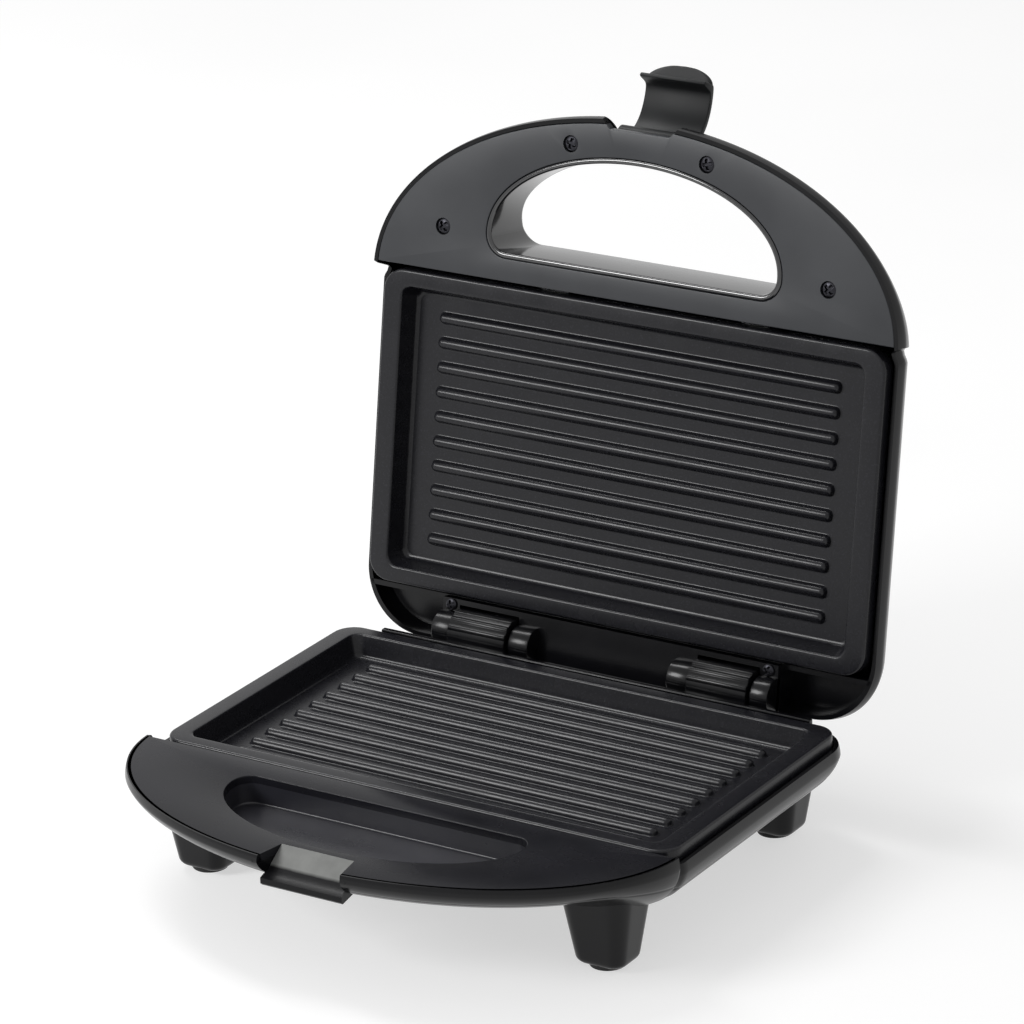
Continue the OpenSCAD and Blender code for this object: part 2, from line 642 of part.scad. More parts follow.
base_housing();
base_handle_cover();
base_catch();
base_plate();
base_heater();
base_reflector();
thermostat();
thermal_fuse();
terminal_block();
base_plate_screws();
base_screws();
foot_pads();
cord_gland();
lid_housing();
lid_handle_cover();
lid_cover_screws();
lid_plate();
lid_heater();
lid_reflector();
lid_plate_screws();
hinge_pins();
hinge_screws();
power_lens();
ready_lens();
lamp_holder();
latch_pin();
latch();
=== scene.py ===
# %% [markdown]
# # A sandwich toaster, dressed in Blender
#
# The object is a small electric sandwich toaster that stands open. Two thin moulded housings each hold a
# ribbed grill plate. A crescent-shaped handle with a D-shaped opening closes the front of each half, and a
# curved clip on the lid hooks under a catch on the base. The solids come from CAD and fix every place and
# size. Here they get their finished surfaces, worked out as formulas with numpy, and their materials.
#
# First the imported model is loaded. It is the frame that everything else is set against.

import math

import bpy
import numpy as np
from mathutils import Matrix


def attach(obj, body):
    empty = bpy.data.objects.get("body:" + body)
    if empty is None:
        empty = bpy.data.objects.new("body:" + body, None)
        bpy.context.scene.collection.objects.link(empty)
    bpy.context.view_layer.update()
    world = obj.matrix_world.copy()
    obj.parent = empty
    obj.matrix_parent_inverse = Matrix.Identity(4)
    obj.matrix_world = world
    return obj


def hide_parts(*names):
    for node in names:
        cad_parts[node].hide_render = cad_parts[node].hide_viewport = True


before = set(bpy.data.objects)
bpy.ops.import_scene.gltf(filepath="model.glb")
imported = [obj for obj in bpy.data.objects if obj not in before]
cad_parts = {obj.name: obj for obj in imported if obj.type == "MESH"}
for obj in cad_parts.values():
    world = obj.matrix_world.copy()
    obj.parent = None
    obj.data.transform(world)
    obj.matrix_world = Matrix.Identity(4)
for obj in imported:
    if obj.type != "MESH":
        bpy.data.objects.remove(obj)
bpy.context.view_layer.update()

# %% [markdown]
# ## The camera
#
# A camera is a lens and a place. The picture this model follows was taken with a long lens from the front
# right, a little above. The numbers were solved from matching corners of the plates, handles and screws,
# so the view lies within about two pixels of the picture. The turn is given as three angles: round the
# object, up, and a slight roll.

# %% Camera
AZIMUTH, ELEVATION, ROLL = math.radians(33.11), math.radians(21.23), math.radians(-2.14)
CAMERA_AT, FOCAL_MM = (1.0008, -1.52676, 0.8423), 185.32
back = np.array([math.sin(AZIMUTH) * math.cos(ELEVATION), -math.cos(AZIMUTH) * math.cos(ELEVATION),
                 math.sin(ELEVATION)])
right = np.array([math.cos(AZIMUTH), math.sin(AZIMUTH), 0.0])
up = np.cross(back, right)
turned = [right * math.cos(ROLL) + up * math.sin(ROLL), up * math.cos(ROLL) - right * math.sin(ROLL), back]
camera_data = bpy.data.cameras.new("camera")
camera_data.sensor_width = 36.0
camera_data.lens = FOCAL_MM
camera_data.clip_end = 50.0
camera = bpy.data.objects.new("camera", camera_data)
bpy.context.scene.collection.objects.link(camera)
camera.matrix_world = Matrix.Translation(CAMERA_AT) @ Matrix(np.array(turned).T.tolist()).to_4x4()
bpy.context.scene.camera = camera
print("camera distance from the object: %.2f m" % np.linalg.norm(camera.matrix_world.translation))

# %% [markdown]
# ## Measures
#
# All lengths are millimetres, as on a drawing. Each half is described with its parting plane at depth 0
# and its outside towards +z, just as the CAD source does. Two functions then put a half in its place: the
# base is turned over and set on its feet, and the lid is swung open by 100 degrees about the hinge.

# %% Measures in millimetres and the places of the two halves
PLATE_W, PLATE_D, PLATE_R, SKIRT_H, CAST = 224.0, 126.0, 9.0, 6.5, 2.4
RECESS_W, RECESS_D, RECESS_LEAN, RECESS_R = 207.0, 113.0, 2.4, 4.0
RIB_COUNT, RIB_PITCH, RIB_LEN, RIB_W, RIB_H = 10, 9.9, 175.4, 4.6, 2.6
FLANGE_Z, COVER_Z, SIDE_RIM_Z, FLOOR_Z, FLOOR_BACK_Z = 0.6, 0.3, 5.3, 9.4, 11.8
BODY_W, HANDLE_W, REACH, CRESCENT_Y, COVER_EDGE_Y = 232.0, 236.0, 73.0, -62.5, -64.9
FRONT_Y = CRESCENT_Y - REACH
BASE = {"back": 69.0, "corner": 17.0, "deep": 31.0, "handle": 17.5}
LID = {"back": 84.5, "corner": 26.0, "deep": 34.0, "handle": 24.0}
WALL, COVER_T, NECK_IN, NECK_Y, SHELL_Y, SHELL_REACH = 2.4, 3.0, 1.8, -58.0, -20.0, 106.0
GRIP_HALF_W, GRIP_REACH, GRIP_Y, GRIP_BACK_Y, GRIP_R, POCKET = 63.5, 34.0, -83.5, -76.2, 7.0, 11.2
LIP_T, COVER_BACK = 2.2, COVER_Z + COVER_T
HINGE_Y, PARTING_Z, SHIFT_Y, OPEN_ANGLE = 76.5, 47.0, -6.66, math.radians(100)


def base_place(p):
    """Base half to the row frame in metres: y shifted, depth counted down from the parting plane."""
    return np.stack([p[..., 0], p[..., 1] + SHIFT_Y, PARTING_Z - p[..., 2]], -1) / 1000


def lid_place(p):
    """Lid half to the row frame in metres: turned about the hinge line by the opening angle."""
    y, z, c, s = p[..., 1] - HINGE_Y, p[..., 2], math.cos(OPEN_ANGLE), math.sin(OPEN_ANGLE)
    return np.stack([p[..., 0], HINGE_Y + y * c + z * s + SHIFT_Y, PARTING_Z - y * s + z * c], -1) / 1000


print("hinge line in the row frame:", np.round(lid_place(np.array([0, HINGE_Y, 0.0])), 4))

# %% [markdown]
# ## Nodes, colours and a way to write materials
#
# A material in Blender is a small graph. One helper adds a node, gives it its settings and values, and
# plugs other nodes into it, so each material below reads as a short list. Colours are picked as they look
# on a screen, so one function turns their hex values into the linear light that Cycles works in.


# %% Material helpers
def linear(hex_code):
    """sRGB hex to linear colour: below 0.04045 divide by 12.92, above it ((c + 0.055) / 1.055) ** 2.4."""
    c = np.array([int(hex_code[i:i + 2], 16) for i in (1, 3, 5)]) / 255
    c = np.where(c <= 0.04045, c / 12.92, ((c + 0.055) / 1.055) ** 2.4)
    return (*c.tolist(), 1.0)


def add_node(tree, kind, settings=None, values=None, links=None):
    """Adds one node: settings are its own attributes, values its inputs, links {input: (node, output)}."""
    made = tree.nodes.new(kind)
    for key, value in (settings or {}).items():
        setattr(made, key, value)
    for key, value in (values or {}).items():
        made.inputs[key].default_value = value
    for key, (source, output) in (links or {}).items():
        tree.links.new(source.outputs[output], made.inputs[key])
    return made


def per_mm(size):
    """Texture scale for a pattern whose repeat is that many millimetres, on coordinates in metres."""
    return 1000.0 / size


def start_material(name):
    """A new material with its object coordinates and its surface shader, linked to the output."""
    material = bpy.data.materials.new(name)
    material.use_nodes = True
    tree = material.node_tree
    tree.nodes.clear()
    place = add_node(tree, "ShaderNodeTexCoord")
    shader = add_node(tree, "ShaderNodeBsdfPrincipled")
    add_node(tree, "ShaderNodeOutputMaterial", links={"Surface": (shader, "BSDF")})
    return material, tree, place, shader


def tint(tree, place, shader, size, dark, light):
    """Base colour that wanders between two near hexes in patches of that many millimetres."""
    noise = add_node(tree, "ShaderNodeTexNoise", values={"Scale": per_mm(size), "Detail": 3.0},
                     links={"Vector": (place, "Object")})
    ramp = add_node(tree, "ShaderNodeValToRGB", links={"Fac": (noise, "Fac")})
    for stop, at, code in zip(ramp.color_ramp.elements, (0.35, 0.65), (dark, light)):
        stop.position, stop.color = at, linear(code)
    tree.links.new(ramp.outputs["Color"], shader.inputs["Base Color"])


def uneven_gloss(tree, place, shader, size, low, high):
    """Roughness that varies between two values in patches, as handling and moulding leave it."""
    noise = add_node(tree, "ShaderNodeTexNoise", values={"Scale": per_mm(size), "Detail": 4.0},
                     links={"Vector": (place, "Object")})
    spread = add_node(tree, "ShaderNodeMapRange", values={"From Min": 0.3, "From Max": 0.7, "To Min": low,
                                                          "To Max": high}, links={"Value": (noise, "Fac")})
    tree.links.new(spread.outputs["Result"], shader.inputs["Roughness"])


def relief(tree, place, shader, layers):
    """Bump from layers of noise, each (size in mm, height in mm, share); one Bump node chains to the next."""
    last = None
    for size, height, share in layers:
        noise = add_node(tree, "ShaderNodeTexNoise", values={"Scale": per_mm(size), "Detail": 2.0},
                         links={"Vector": (place, "Object")})
        links = {"Height": (noise, "Fac")}
        if last:
            links["Normal"] = (last, "Normal")
        last = add_node(tree, "ShaderNodeBump", values={"Strength": share, "Distance": height / 1000},
                        links=links)
    tree.links.new(last.outputs["Normal"], shader.inputs["Normal"])


print("white is", linear("#ffffff"))

# %% [markdown]
# ## Moulded plastics
#
# The housings are ABS, moulded in a polished steel tool: black, glossy and slightly wavy, like orange
# peel. Where hands hold it, the wall of the grip is polished further, and the finger pocket is satin. The
# handle covers come from a spark-eroded tool, which leaves a fine even grain that scatters the light and
# makes the same black look charcoal. The grain is really about 0.15 mm, and it is drawn at 0.45 mm because
# finer grain vanishes at this distance. The clip is glass-filled nylon, matt and slightly greyer.
#
# A smooth plastic has an index of refraction of about 1.5. Fine relief hides part of a surface's own mirror
# light at shallow angles, so the housings, the covers, the pocket and the clip have a lower one here, and
# the polished wall of the grip a higher one. Both were matched to the object.


# %% Plastics
def plastic(name, dark, light, rough, layers, spread=0.0, ior=1.53, patch=35.0):
    """A moulded plastic: two near colours, a roughness, its spread over patches, and relief layers."""
    material, tree, place, shader = start_material(name)
    tint(tree, place, shader, patch, dark, light)
    shader.inputs["IOR"].default_value = ior
    shader.inputs["Roughness"].default_value = rough
    if spread:
        uneven_gloss(tree, place, shader, 18.0, rough - spread, rough + spread)
    relief(tree, place, shader, layers)
    return material


EVEN_GRAIN, ORANGE_PEEL = [(0.45, 0.02, 0.5), (14.0, 0.04, 0.3)], [(9.0, 0.03, 0.4)]
MATT_SKIN, SOFT_SKIN = [(0.6, 0.02, 0.4)], [(0.5, 0.03, 0.5)]
gloss_abs = plastic("polished_black_abs", "#09090b", "#0d0d10", 0.22, ORANGE_PEEL, 0.03, 1.34)
grip_abs = plastic("mirror_polished_black_abs", "#101013", "#151518", 0.13, ORANGE_PEEL, 0.02, 1.8)
pocket_abs = plastic("satin_black_abs", "#28282d", "#2e2e34", 0.3, EVEN_GRAIN, 0.04, 1.44)
cover_abs = plastic("textured_charcoal_abs", "#2a2c30", "#313337", 0.38, EVEN_GRAIN, 0.05, 1.48)
base_cover_abs = plastic("textured_black_abs", "#19191d", "#1e1e23", 0.26, EVEN_GRAIN, 0.04, 1.25)
clip_nylon = plastic("glass_filled_grey_nylon", "#1b1c1d", "#222324", 0.44, MATT_SKIN, 0.03, 1.26)
lamp_plastic = plastic("white_lamp_plastic", "#cfcabb", "#dbd6c8", 0.45, MATT_SKIN)
terminal_plastic = plastic("white_polyamide", "#dedcd3", "#ebe9e2", 0.5, MATT_SKIN)
print("plastics:", len(bpy.data.materials))

# %% [markdown]
# ## The non-stick coating
#
# The plates are die-cast aluminium with a sprayed and baked fluoropolymer coating. The coating is dark,
# between satin and gloss, and never perfectly even: tiny lighter specks of pigment lie in it and its skin
# has a slight leathery wave. The specks are drawn at 0.7 mm so that they can be seen.

# %% Non-stick coating
nonstick, tree, place, shader = start_material("baked_nonstick_coating")
shader.inputs["IOR"].default_value = 1.37
speck = add_node(tree, "ShaderNodeTexNoise", values={"Scale": per_mm(0.7), "Detail": 1.0},
                 links={"Vector": (place, "Object")})
specks = add_node(tree, "ShaderNodeValToRGB", links={"Fac": (speck, "Fac")})
for stop, at, code in zip(specks.color_ramp.elements, (0.55, 0.85), ("#19191d", "#2d2d33")):
    stop.position, stop.color = at, linear(code)
tree.links.new(specks.outputs["Color"], shader.inputs["Base Color"])
uneven_gloss(tree, place, shader, 12.0, 0.23, 0.3)
relief(tree, place, shader, [(0.7, 0.006, 0.4), (5.0, 0.025, 0.4)])
print("coating nodes:", len(tree.nodes))

# %% [markdown]
# ## Metals, rubber, ceramic and lenses
#
# A metal is metallic 1 and takes its look from how it was worked. Turned pins and sheathed heater tube
# carry fine lines along their length, so their noise is stretched. The tray is bright rolled sheet, and
# the screws are either zinc plated or blackened. Rubber and glazed ceramic are not metals: rubber is
# rough and nearly black, and the lenses are clear coloured polycarbonate, so they let light through.


# %% Metals
def metal(name, colour, rough, stretch=(1.0, 1.0, 1.0), size=1.2, height=0.01):
    """A worked metal: its colour, roughness give or take 0.06, and scratches stretched along one axis."""
    material, tree, place, shader = start_material(name)
    shader.inputs["Metallic"].default_value = 1.0
    shader.inputs["Base Color"].default_value = linear(colour)
    uneven_gloss(tree, place, shader, 6.0, rough - 0.06, rough + 0.06)
    drawn = add_node(tree, "ShaderNodeMapping", values={"Scale": stretch}, links={"Vector": (place, "Object")})
    noise = add_node(tree, "ShaderNodeTexNoise", values={"Scale": per_mm(size), "Detail": 3.0},
                     links={"Vector": (drawn, "Vector")})
    bump = add_node(tree, "ShaderNodeBump", values={"Strength": 0.4, "Distance": height / 1000},
                    links={"Height": (noise, "Fac")})
    tree.links.new(bump.outputs["Normal"], shader.inputs["Normal"])
    return material


pin_steel = metal("turned_steel", "#a9aaac", 0.3, (0.1, 1.0, 1.0))
heater_steel = metal("sheathed_heater_tube", "#8d8a86", 0.42, (0.15, 1.0, 1.0))
tray_steel = metal("bright_rolled_sheet", "#bcbdbe", 0.28, (1.0, 0.08, 1.0), 0.8)
screw_steel = metal("zinc_plated_steel", "#a3a29d", 0.35)
screw_black = metal("blackened_steel", "#323236", 0.36, size=0.8, height=0.004)
print("metals:", [m.name for m in (pin_steel, heater_steel, tray_steel, screw_steel, screw_black)])


# %% Rubber, ceramic, glassy lenses
def lens_clear(name, dark, light):
    """Clear coloured polycarbonate: light passes and is tinted, with a faint cloud inside the moulding."""
    material, tree, place, shader = start_material(name)
    tint(tree, place, shader, 4.0, dark, light)
    shader.inputs["Transmission Weight"].default_value = 0.7
    shader.inputs["IOR"].default_value = 1.58
    shader.inputs["Roughness"].default_value = 0.08
    relief(tree, place, shader, [(3.0, 0.05, 0.4)])
    return material


foot_rubber = plastic("matt_black_rubber", "#151515", "#1d1d1d", 0.75, [(0.5, 0.05, 0.6)], 0.06, 1.52, 8.0)
gland_rubber = plastic("soft_black_pvc", "#131314", "#19191a", 0.55, SOFT_SKIN, 0.05, 1.52, 8.0)
ceramic = plastic("steatite_ceramic", "#bdb6a0", "#cdc6b2", 0.5, SOFT_SKIN, 0.08, 1.55, 5.0)
fuse_glaze = plastic("glazed_fuse_body", "#dcd5c2", "#e8e2d2", 0.2, [(0.8, 0.02, 0.4)], 0.05, 1.5, 5.0)
red_lens = lens_clear("red_polycarbonate", "#ab1e1a", "#b8241f")
green_lens = lens_clear("green_polycarbonate", "#2c9638", "#34a442")
print("materials so far:", [m.name for m in bpy.data.materials])

# %% [markdown]
# ## From formulas to meshes
#
# Every new surface below is rings of points: a closed curve that changes as it moves. One function joins
# neighbouring rings with four-sided faces and closes the ends with a point or with one many-sided face.
# Another sends the points to Blender in one go. It works out the enclosed volume first, and turns the
# faces round if that is negative, so that they always point outwards.


# %% Mesh helpers
def skin(rings, ends="faces"):
    """Faces over closed rings (m, n, 3): quads between neighbours; ends is "faces" for one face on each end,
    "poles" for triangles to each end's middle, or "round" to join the last ring to the first."""
    m, n = rings.shape[:2]
    a = np.arange(m if ends == "round" else m - 1)[:, None] * n
    i = np.arange(n)[None, :]
    b, k = (a + n) % (m * n), (i + 1) % n
    faces = [np.stack([a + i, a + k, b + k, b + i], -1).reshape(-1, 4)]
    points = rings.reshape(-1, 3)
    if ends == "faces":
        faces += [i[:, ::-1], (m - 1) * n + i]
    if ends == "poles":
        points = np.concatenate([points, rings[[0, -1]].mean(1)])
        faces += [np.stack([k[0], i[0], np.full(n, m * n)], -1),
                  np.stack([(m - 1) * n + i[0], (m - 1) * n + k[0], np.full(n, m * n + 1)], -1)]
    return points, faces


def joined(*parts):
    """Several (points, faces) as one, with the corner numbers of each moved up."""
    points, faces, start = [], [], 0
    for p, f in parts:
        points.append(p)
        faces += [x + start for x in f]
        start += len(p)
    return np.concatenate(points), faces


def volume_of(points, faces):
    """Signed volume: a sixth of the sum of triple products over the triangles that fan out each face."""
    total = 0.0
    for f in faces:
        for j in range(1, f.shape[1] - 1):
            total += np.einsum("ij,ij->", points[f[:, 0]], np.cross(points[f[:, j]], points[f[:, j + 1]]))
    return total / 6


def outward(parts, place):
    """Each closed part placed, and its faces turned if they point inwards."""
    placed = []
    for points, faces in parts:
        points = place(points)
        if volume_of(points, faces) < 0:
            faces = [f[:, ::-1] for f in faces]
        placed.append((points, faces))
    return joined(*placed)


def new_mesh(name, points, faces):
    """Points and faces into a new object, whole arrays at a time."""
    mesh = bpy.data.meshes.new(name)
    sizes = np.concatenate([np.full(len(f), f.shape[1]) for f in faces])
    mesh.vertices.add(len(points))
    mesh.vertices.foreach_set("co", points.astype(np.float32).ravel())
    mesh.loops.add(int(sizes.sum()))
    mesh.loops.foreach_set("vertex_index", np.concatenate([f.ravel() for f in faces]).astype(np.int32))
    mesh.polygons.add(len(sizes))
    mesh.polygons.foreach_set("loop_start", np.concatenate([[0], np.cumsum(sizes)[:-1]]).astype(np.int32))
    mesh.update(calc_edges=True)
    mesh.validate()
    made = bpy.data.objects.new(name, mesh)
    bpy.context.scene.collection.objects.link(made)
    return made


def dressed(made, body, slot, material, stands_for=(), sharp=35.0):
    """Smooth shading with edges above an angle kept sharp, then the material, the body and the nodes."""
    made.data.shade_smooth()
    made.data.set_sharp_from_angle(angle=math.radians(sharp))
    made.data.materials.clear()
    made.data.materials.append(material)
    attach(made, body)
    if stands_for:
        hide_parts(*stands_for)
    size = np.round(np.array(made.dimensions) * 1000, 1)
    print(f"{made.name}: {len(made.data.polygons)} faces, {size[0]} x {size[1]} x {size[2]} mm")


def piece(name, parts, place, body, slot, material, stands_for=(), sharp=35.0):
    """A finished piece from closed parts in one half's millimetres."""
    dressed(new_mesh(name, *outward(parts, place)), body, slot, material, stands_for, sharp)


def carved(made, place, *groups, operation="DIFFERENCE"):
    """A mesh with groups of closed cutters taken away in turn, added to it, or kept in common with it."""
    for group in groups:
        tool = new_mesh("cutter", *outward(group, place))
        cut = made.modifiers.new("carve", "BOOLEAN")
        cut.operation, cut.solver, cut.object = operation, "EXACT", tool
        result = bpy.data.meshes.new_from_object(made.evaluated_get(bpy.context.evaluated_depsgraph_get()))
        made.modifiers.clear()
        made.data = result
        bpy.data.objects.remove(tool)


ON_BASE, ON_LID, GLOSS = (base_place, "base"), (lid_place, "lid"), ("gloss_shell", gloss_abs)
cube = skin(np.array([[[0, 0, h], [1, 0, h], [1, 1, h], [0, 1, h]] for h in (0, 1)], float))
print("volume of a cube of 1 mm:", volume_of(*cube))

# %% [markdown]
# ## Curves that the pieces share
#
# The crescent is half an ellipse. The D-shaped opening is half an ellipse closed by a straight edge with
# two round corners. The plates are rounded rectangles. Each function returns a closed curve as points in
# order, and asking for a larger or smaller one gives a parallel curve with the same number of points.


# %% Shared curves
def grip_curve(grow):
    """D shape: ellipse half-axes and corner radii all grown by the same amount."""
    a = np.linspace(math.pi, 2 * math.pi, 90)
    c = np.linspace(0, math.pi / 2, 14)
    x, y, r = GRIP_HALF_W - GRIP_R, GRIP_BACK_Y - GRIP_R, GRIP_R + grow
    curve = np.stack([(GRIP_HALF_W + grow) * np.cos(a), GRIP_Y + (GRIP_REACH + grow) * np.sin(a)], -1)
    corner = np.stack([x + r * np.cos(c), y + r * np.sin(c)], -1)
    edge = np.stack([np.linspace(x, -x, 40)[1:-1], np.full(38, y + r)], -1)
    return np.concatenate([curve, corner, edge, corner[::-1] * [-1, 1]])


def round_rect(w, d, r, side, turn=12):
    """Rounded rectangle: four quarter circles joined by straight sides, counter-clockwise."""
    parts = []
    for quarter, (sx, sy) in enumerate([(1, 1), (-1, 1), (-1, -1), (1, -1)]):
        a = math.pi / 2 * quarter + np.linspace(0, math.pi / 2, turn)
        arc = np.stack([sx * (w / 2 - r) + r * np.cos(a), sy * (d / 2 - r) + r * np.sin(a)], -1)
        nx, ny = [(-1, 1), (-1, -1), (1, -1), (1, 1)][quarter]
        after = [nx * (w / 2 - r), ny * d / 2] if quarter in (0, 2) else [nx * w / 2, ny * (d / 2 - r)]
        t = np.linspace(0, 1, side)[1:-1, None]
        parts += [arc, arc[-1] + (np.array(after) - arc[-1]) * t]
    return np.concatenate(parts)


def at_depth(curve, z):
    """A flat curve lifted to a depth, or to one depth for each of its points."""
    return np.concatenate([curve, np.broadcast_to(z, (len(curve),))[:, None]], -1)


def moved_in(curve, distance):
    """A parallel curve further in: each point moves along the mean of its two edges' normals."""
    ahead, behind = np.roll(curve, -1, 0) - curve, curve - np.roll(curve, 1, 0)
    distance = distance * np.sign(np.sum(curve[:, 0] * ahead[:, 1] - curve[:, 1] * ahead[:, 0]))
    ahead /= np.linalg.norm(ahead, axis=1, keepdims=True)
    behind /= np.linalg.norm(behind, axis=1, keepdims=True)
    normal = np.stack([-(ahead + behind)[:, 1], (ahead + behind)[:, 0]], -1)
    normal /= np.maximum(np.einsum("ij,ij->i", normal, np.stack([-ahead[:, 1], ahead[:, 0]], -1)), 0.4)[:, None]
    return curve + distance * normal


def same_angles(curve, centre, angles):
    """Where rays at those angles from the centre meet a closed curve, cut along its straight edges."""
    p = curve - centre
    theta = np.arctan2(p[:, 1], p[:, 0])
    order = np.argsort(theta)
    p, theta = p[order], theta[order]
    p = np.concatenate([p[-1:], p, p[:1]])
    theta = np.concatenate([theta[-1:] - 2 * math.pi, theta, theta[:1] + 2 * math.pi])
    i = np.clip(np.searchsorted(theta, angles, side="right") - 1, 0, len(theta) - 2)
    d = np.stack([np.cos(angles), np.sin(angles)], -1)
    side_a = p[i, 0] * d[:, 1] - p[i, 1] * d[:, 0]
    side_b = p[i + 1, 0] * d[:, 1] - p[i + 1, 1] * d[:, 0]
    s = np.where(np.abs(side_a - side_b) > 1e-12, side_a / np.where(side_a == side_b, 1, side_a - side_b), 0)
    return centre + p[i] + np.clip(s, 0, 1)[:, None] * (p[i + 1] - p[i])


print("points in the D curve:", len(grip_curve(0)))

# %% [markdown]
# ## The form of a housing
#
# A housing is one closed outline that is drawn in towards a centre as it goes deeper. The outline's reach
# shrinks with the cube root of a cosine while its depth grows with the sine of the same angle, which gives
# upright sides, full shoulders and a flat middle. The depth also eases down towards the handle. Because the
# formula can be turned round, it also tells how deep the outside lies under any point, and wells and walls are
# fitted to that.


# %% Housing formula
def smooth_step(t):
    """0 to 1 with level ends: u * u * (3 - 2 u)."""
    u = np.clip(t, 0, 1)
    return u * u * (3 - 2 * u)


def full_depth(y, deep, handle):
    """Depth over the length: the handle's depth, easing to the body's over 45 mm."""
    return handle + (deep - handle) * smooth_step((y + 100) / 45)


def housing_outline(half):
    """Half ellipse, a short step to the neck, straight sides, round rear corners; x, y, depth of the rim."""
    end = math.asin((COVER_EDGE_Y - CRESCENT_Y) / REACH)
    a = np.linspace(1.5 * math.pi, 2 * math.pi + end, 120)
    x, r, y = BODY_W / 2, half["corner"], half["back"] - half["corner"]
    c = np.linspace(0, math.pi / 2, 26)
    front = np.stack([HANDLE_W / 2 * np.cos(a), CRESCENT_Y + REACH * np.sin(a), np.full(120, COVER_Z)], -1)
    step = np.array([[HANDLE_W / 2 - 0.3, COVER_EDGE_Y + 0.25, 1.0], [x - NECK_IN + 0.8, -63.5, 4.7],
                     [x - NECK_IN, CRESCENT_Y, SIDE_RIM_Z], [x - NECK_IN * 0.75, -60.8, SIDE_RIM_Z],
                     [x - NECK_IN * 0.25, -59.3, SIDE_RIM_Z]])
    side = np.stack([np.full(50, x), np.linspace(NECK_Y, y, 50), np.full(50, SIDE_RIM_Z)], -1)
    corner = np.stack([x - r + r * np.cos(c), y + r * np.sin(c), np.full(26, SIDE_RIM_Z)], -1)
    rear = np.stack([np.linspace(x - r, 0, 45), np.full(45, half["back"]), np.full(45, SIDE_RIM_Z)], -1)
    right_half = np.concatenate([front, step, side, corner[1:], rear[1:]])
    return np.concatenate([right_half, right_half[-2:0:-1] * [-1, 1, 1]])


def drawn_in(outline, reach, lift, deep, handle):
    """Rings: the outline scaled about the centre by reach, and lifted by lift from rim to full depth."""
    x = outline[None, :, 0] * reach[:, None]
    y = SHELL_Y + (outline[None, :, 1] - SHELL_Y) * reach[:, None]
    rim = outline[None, :, 2]
    return np.stack([x, y, rim + (full_depth(y, deep, handle) - rim) * lift[:, None]], -1)


def outside_depth(half, x, y):
    """Depth of the outside under a point: reach is its share of the outline, lift is sqrt(1 - reach^6)."""
    outline = housing_outline(half)
    theta = np.arctan2(outline[:, 1] - SHELL_Y, outline[:, 0])
    order = np.argsort(theta)
    at = np.arctan2(y - SHELL_Y, x)
    span = np.hypot(outline[:, 0], outline[:, 1] - SHELL_Y)
    far = np.interp(at, theta[order], span[order], period=2 * math.pi)
    rim = np.interp(at, theta[order], outline[order, 2], period=2 * math.pi)
    reach = np.clip(np.hypot(x, y - SHELL_Y) / far, 0, 0.999)
    return rim + (full_depth(y, half["deep"], half["handle"]) - rim) * np.sqrt(1 - reach ** 6)


def housing_skin(half, seam_at=None):
    """Closed thin wall: outside from the rounded rim to the middle, then the inside back to the rim."""
    outline = housing_outline(half)
    rim = np.radians(np.linspace(0, 9, 6))
    p = np.concatenate([np.radians(np.linspace(9, 80, 60)[1:]), np.arccos(np.linspace(0.55, 0.01, 34) ** 3)])
    reach = np.concatenate([0.991 + 0.0049 * np.sin(rim / rim[-1] * math.pi / 2), np.cos(p) ** (1 / 3)])
    lift = np.concatenate([np.sin(rim), np.sin(p)])
    if seam_at:
        reach = reach - 0.0022 * np.exp(-((lift - seam_at) / 0.012) ** 2)
    outside = drawn_in(outline, reach, lift, half["deep"], half["handle"])
    q = np.radians(np.linspace(0, 89, 26))
    inside = drawn_in(outline, (1 - WALL / SHELL_REACH) * np.cos(q) ** (1 / 3), np.sin(q), half["deep"] - WALL,
                      half["handle"] - WALL)
    return skin(np.concatenate([outside[::-1], inside]), ends="poles")


def housing_core(half):
    """Solid that fills a housing to just under its skin, to trim what stands inside it."""
    outline = housing_outline(half)
    p = np.concatenate([np.radians(np.linspace(0, 80, 24)), np.arccos(np.linspace(0.5, 0.02, 8) ** 3)])
    rings = drawn_in(outline, 0.985 * np.cos(p) ** (1 / 3), np.sin(p), half["deep"] - 1, half["handle"] - 1)
    lid_of_it = rings[:1] * [1, 1, 0] + [0, 0, -2]
    return skin(np.concatenate([lid_of_it, rings]), ends="poles")


print("lid depth over the middle: %.1f mm, over the handle: %.1f mm"
      % (outside_depth(LID, 0.0, -20.0), outside_depth(LID, 0.0, -110.0)))

# %% [markdown]
# ## Building blocks for the fittings
#
# Most fittings are one flat shape carried along a straight line, or one outline turned about an axis.
# Moulded parts have no sharp edges, so the flat shape starts slightly smaller, grows over the first
# fraction of a millimetre, and shrinks again at the far end, which rounds the two rims.


# %% Straight and turned forms
def carried(section, start, end, soft=0.4, widths=None):
    """A section (y, z) carried along x from start to end, drawn in at both ends by a quarter circle of
    radius soft. With widths, x is scaled point by point instead, for a shape that tapers."""
    t = np.radians(np.linspace(0, 90, 4))
    inset = np.concatenate([soft * (1 - np.sin(t)), soft * (1 - np.sin(t[::-1]))])
    along = np.concatenate([start + soft * (1 - np.cos(t)), end - soft * (1 - np.cos(t[::-1]))])
    rings = [np.concatenate([np.full((len(section), 1), x), moved_in(section, d) if d > 1e-9 else section], -1)
             for x, d in zip(along, inset)]
    rings = np.array(rings)
    if widths is not None:
        rings[..., 0] *= widths[None, :]
    return skin(rings)


def block(x0, x1, y0, y1, z0, z1):
    """A plain box, used only to cut with or to join into larger shapes."""
    corners = np.array([[x0, y0], [x1, y0], [x1, y1], [x0, y1]], float)
    return skin(np.stack([at_depth(corners, z0), at_depth(corners, z1)]))


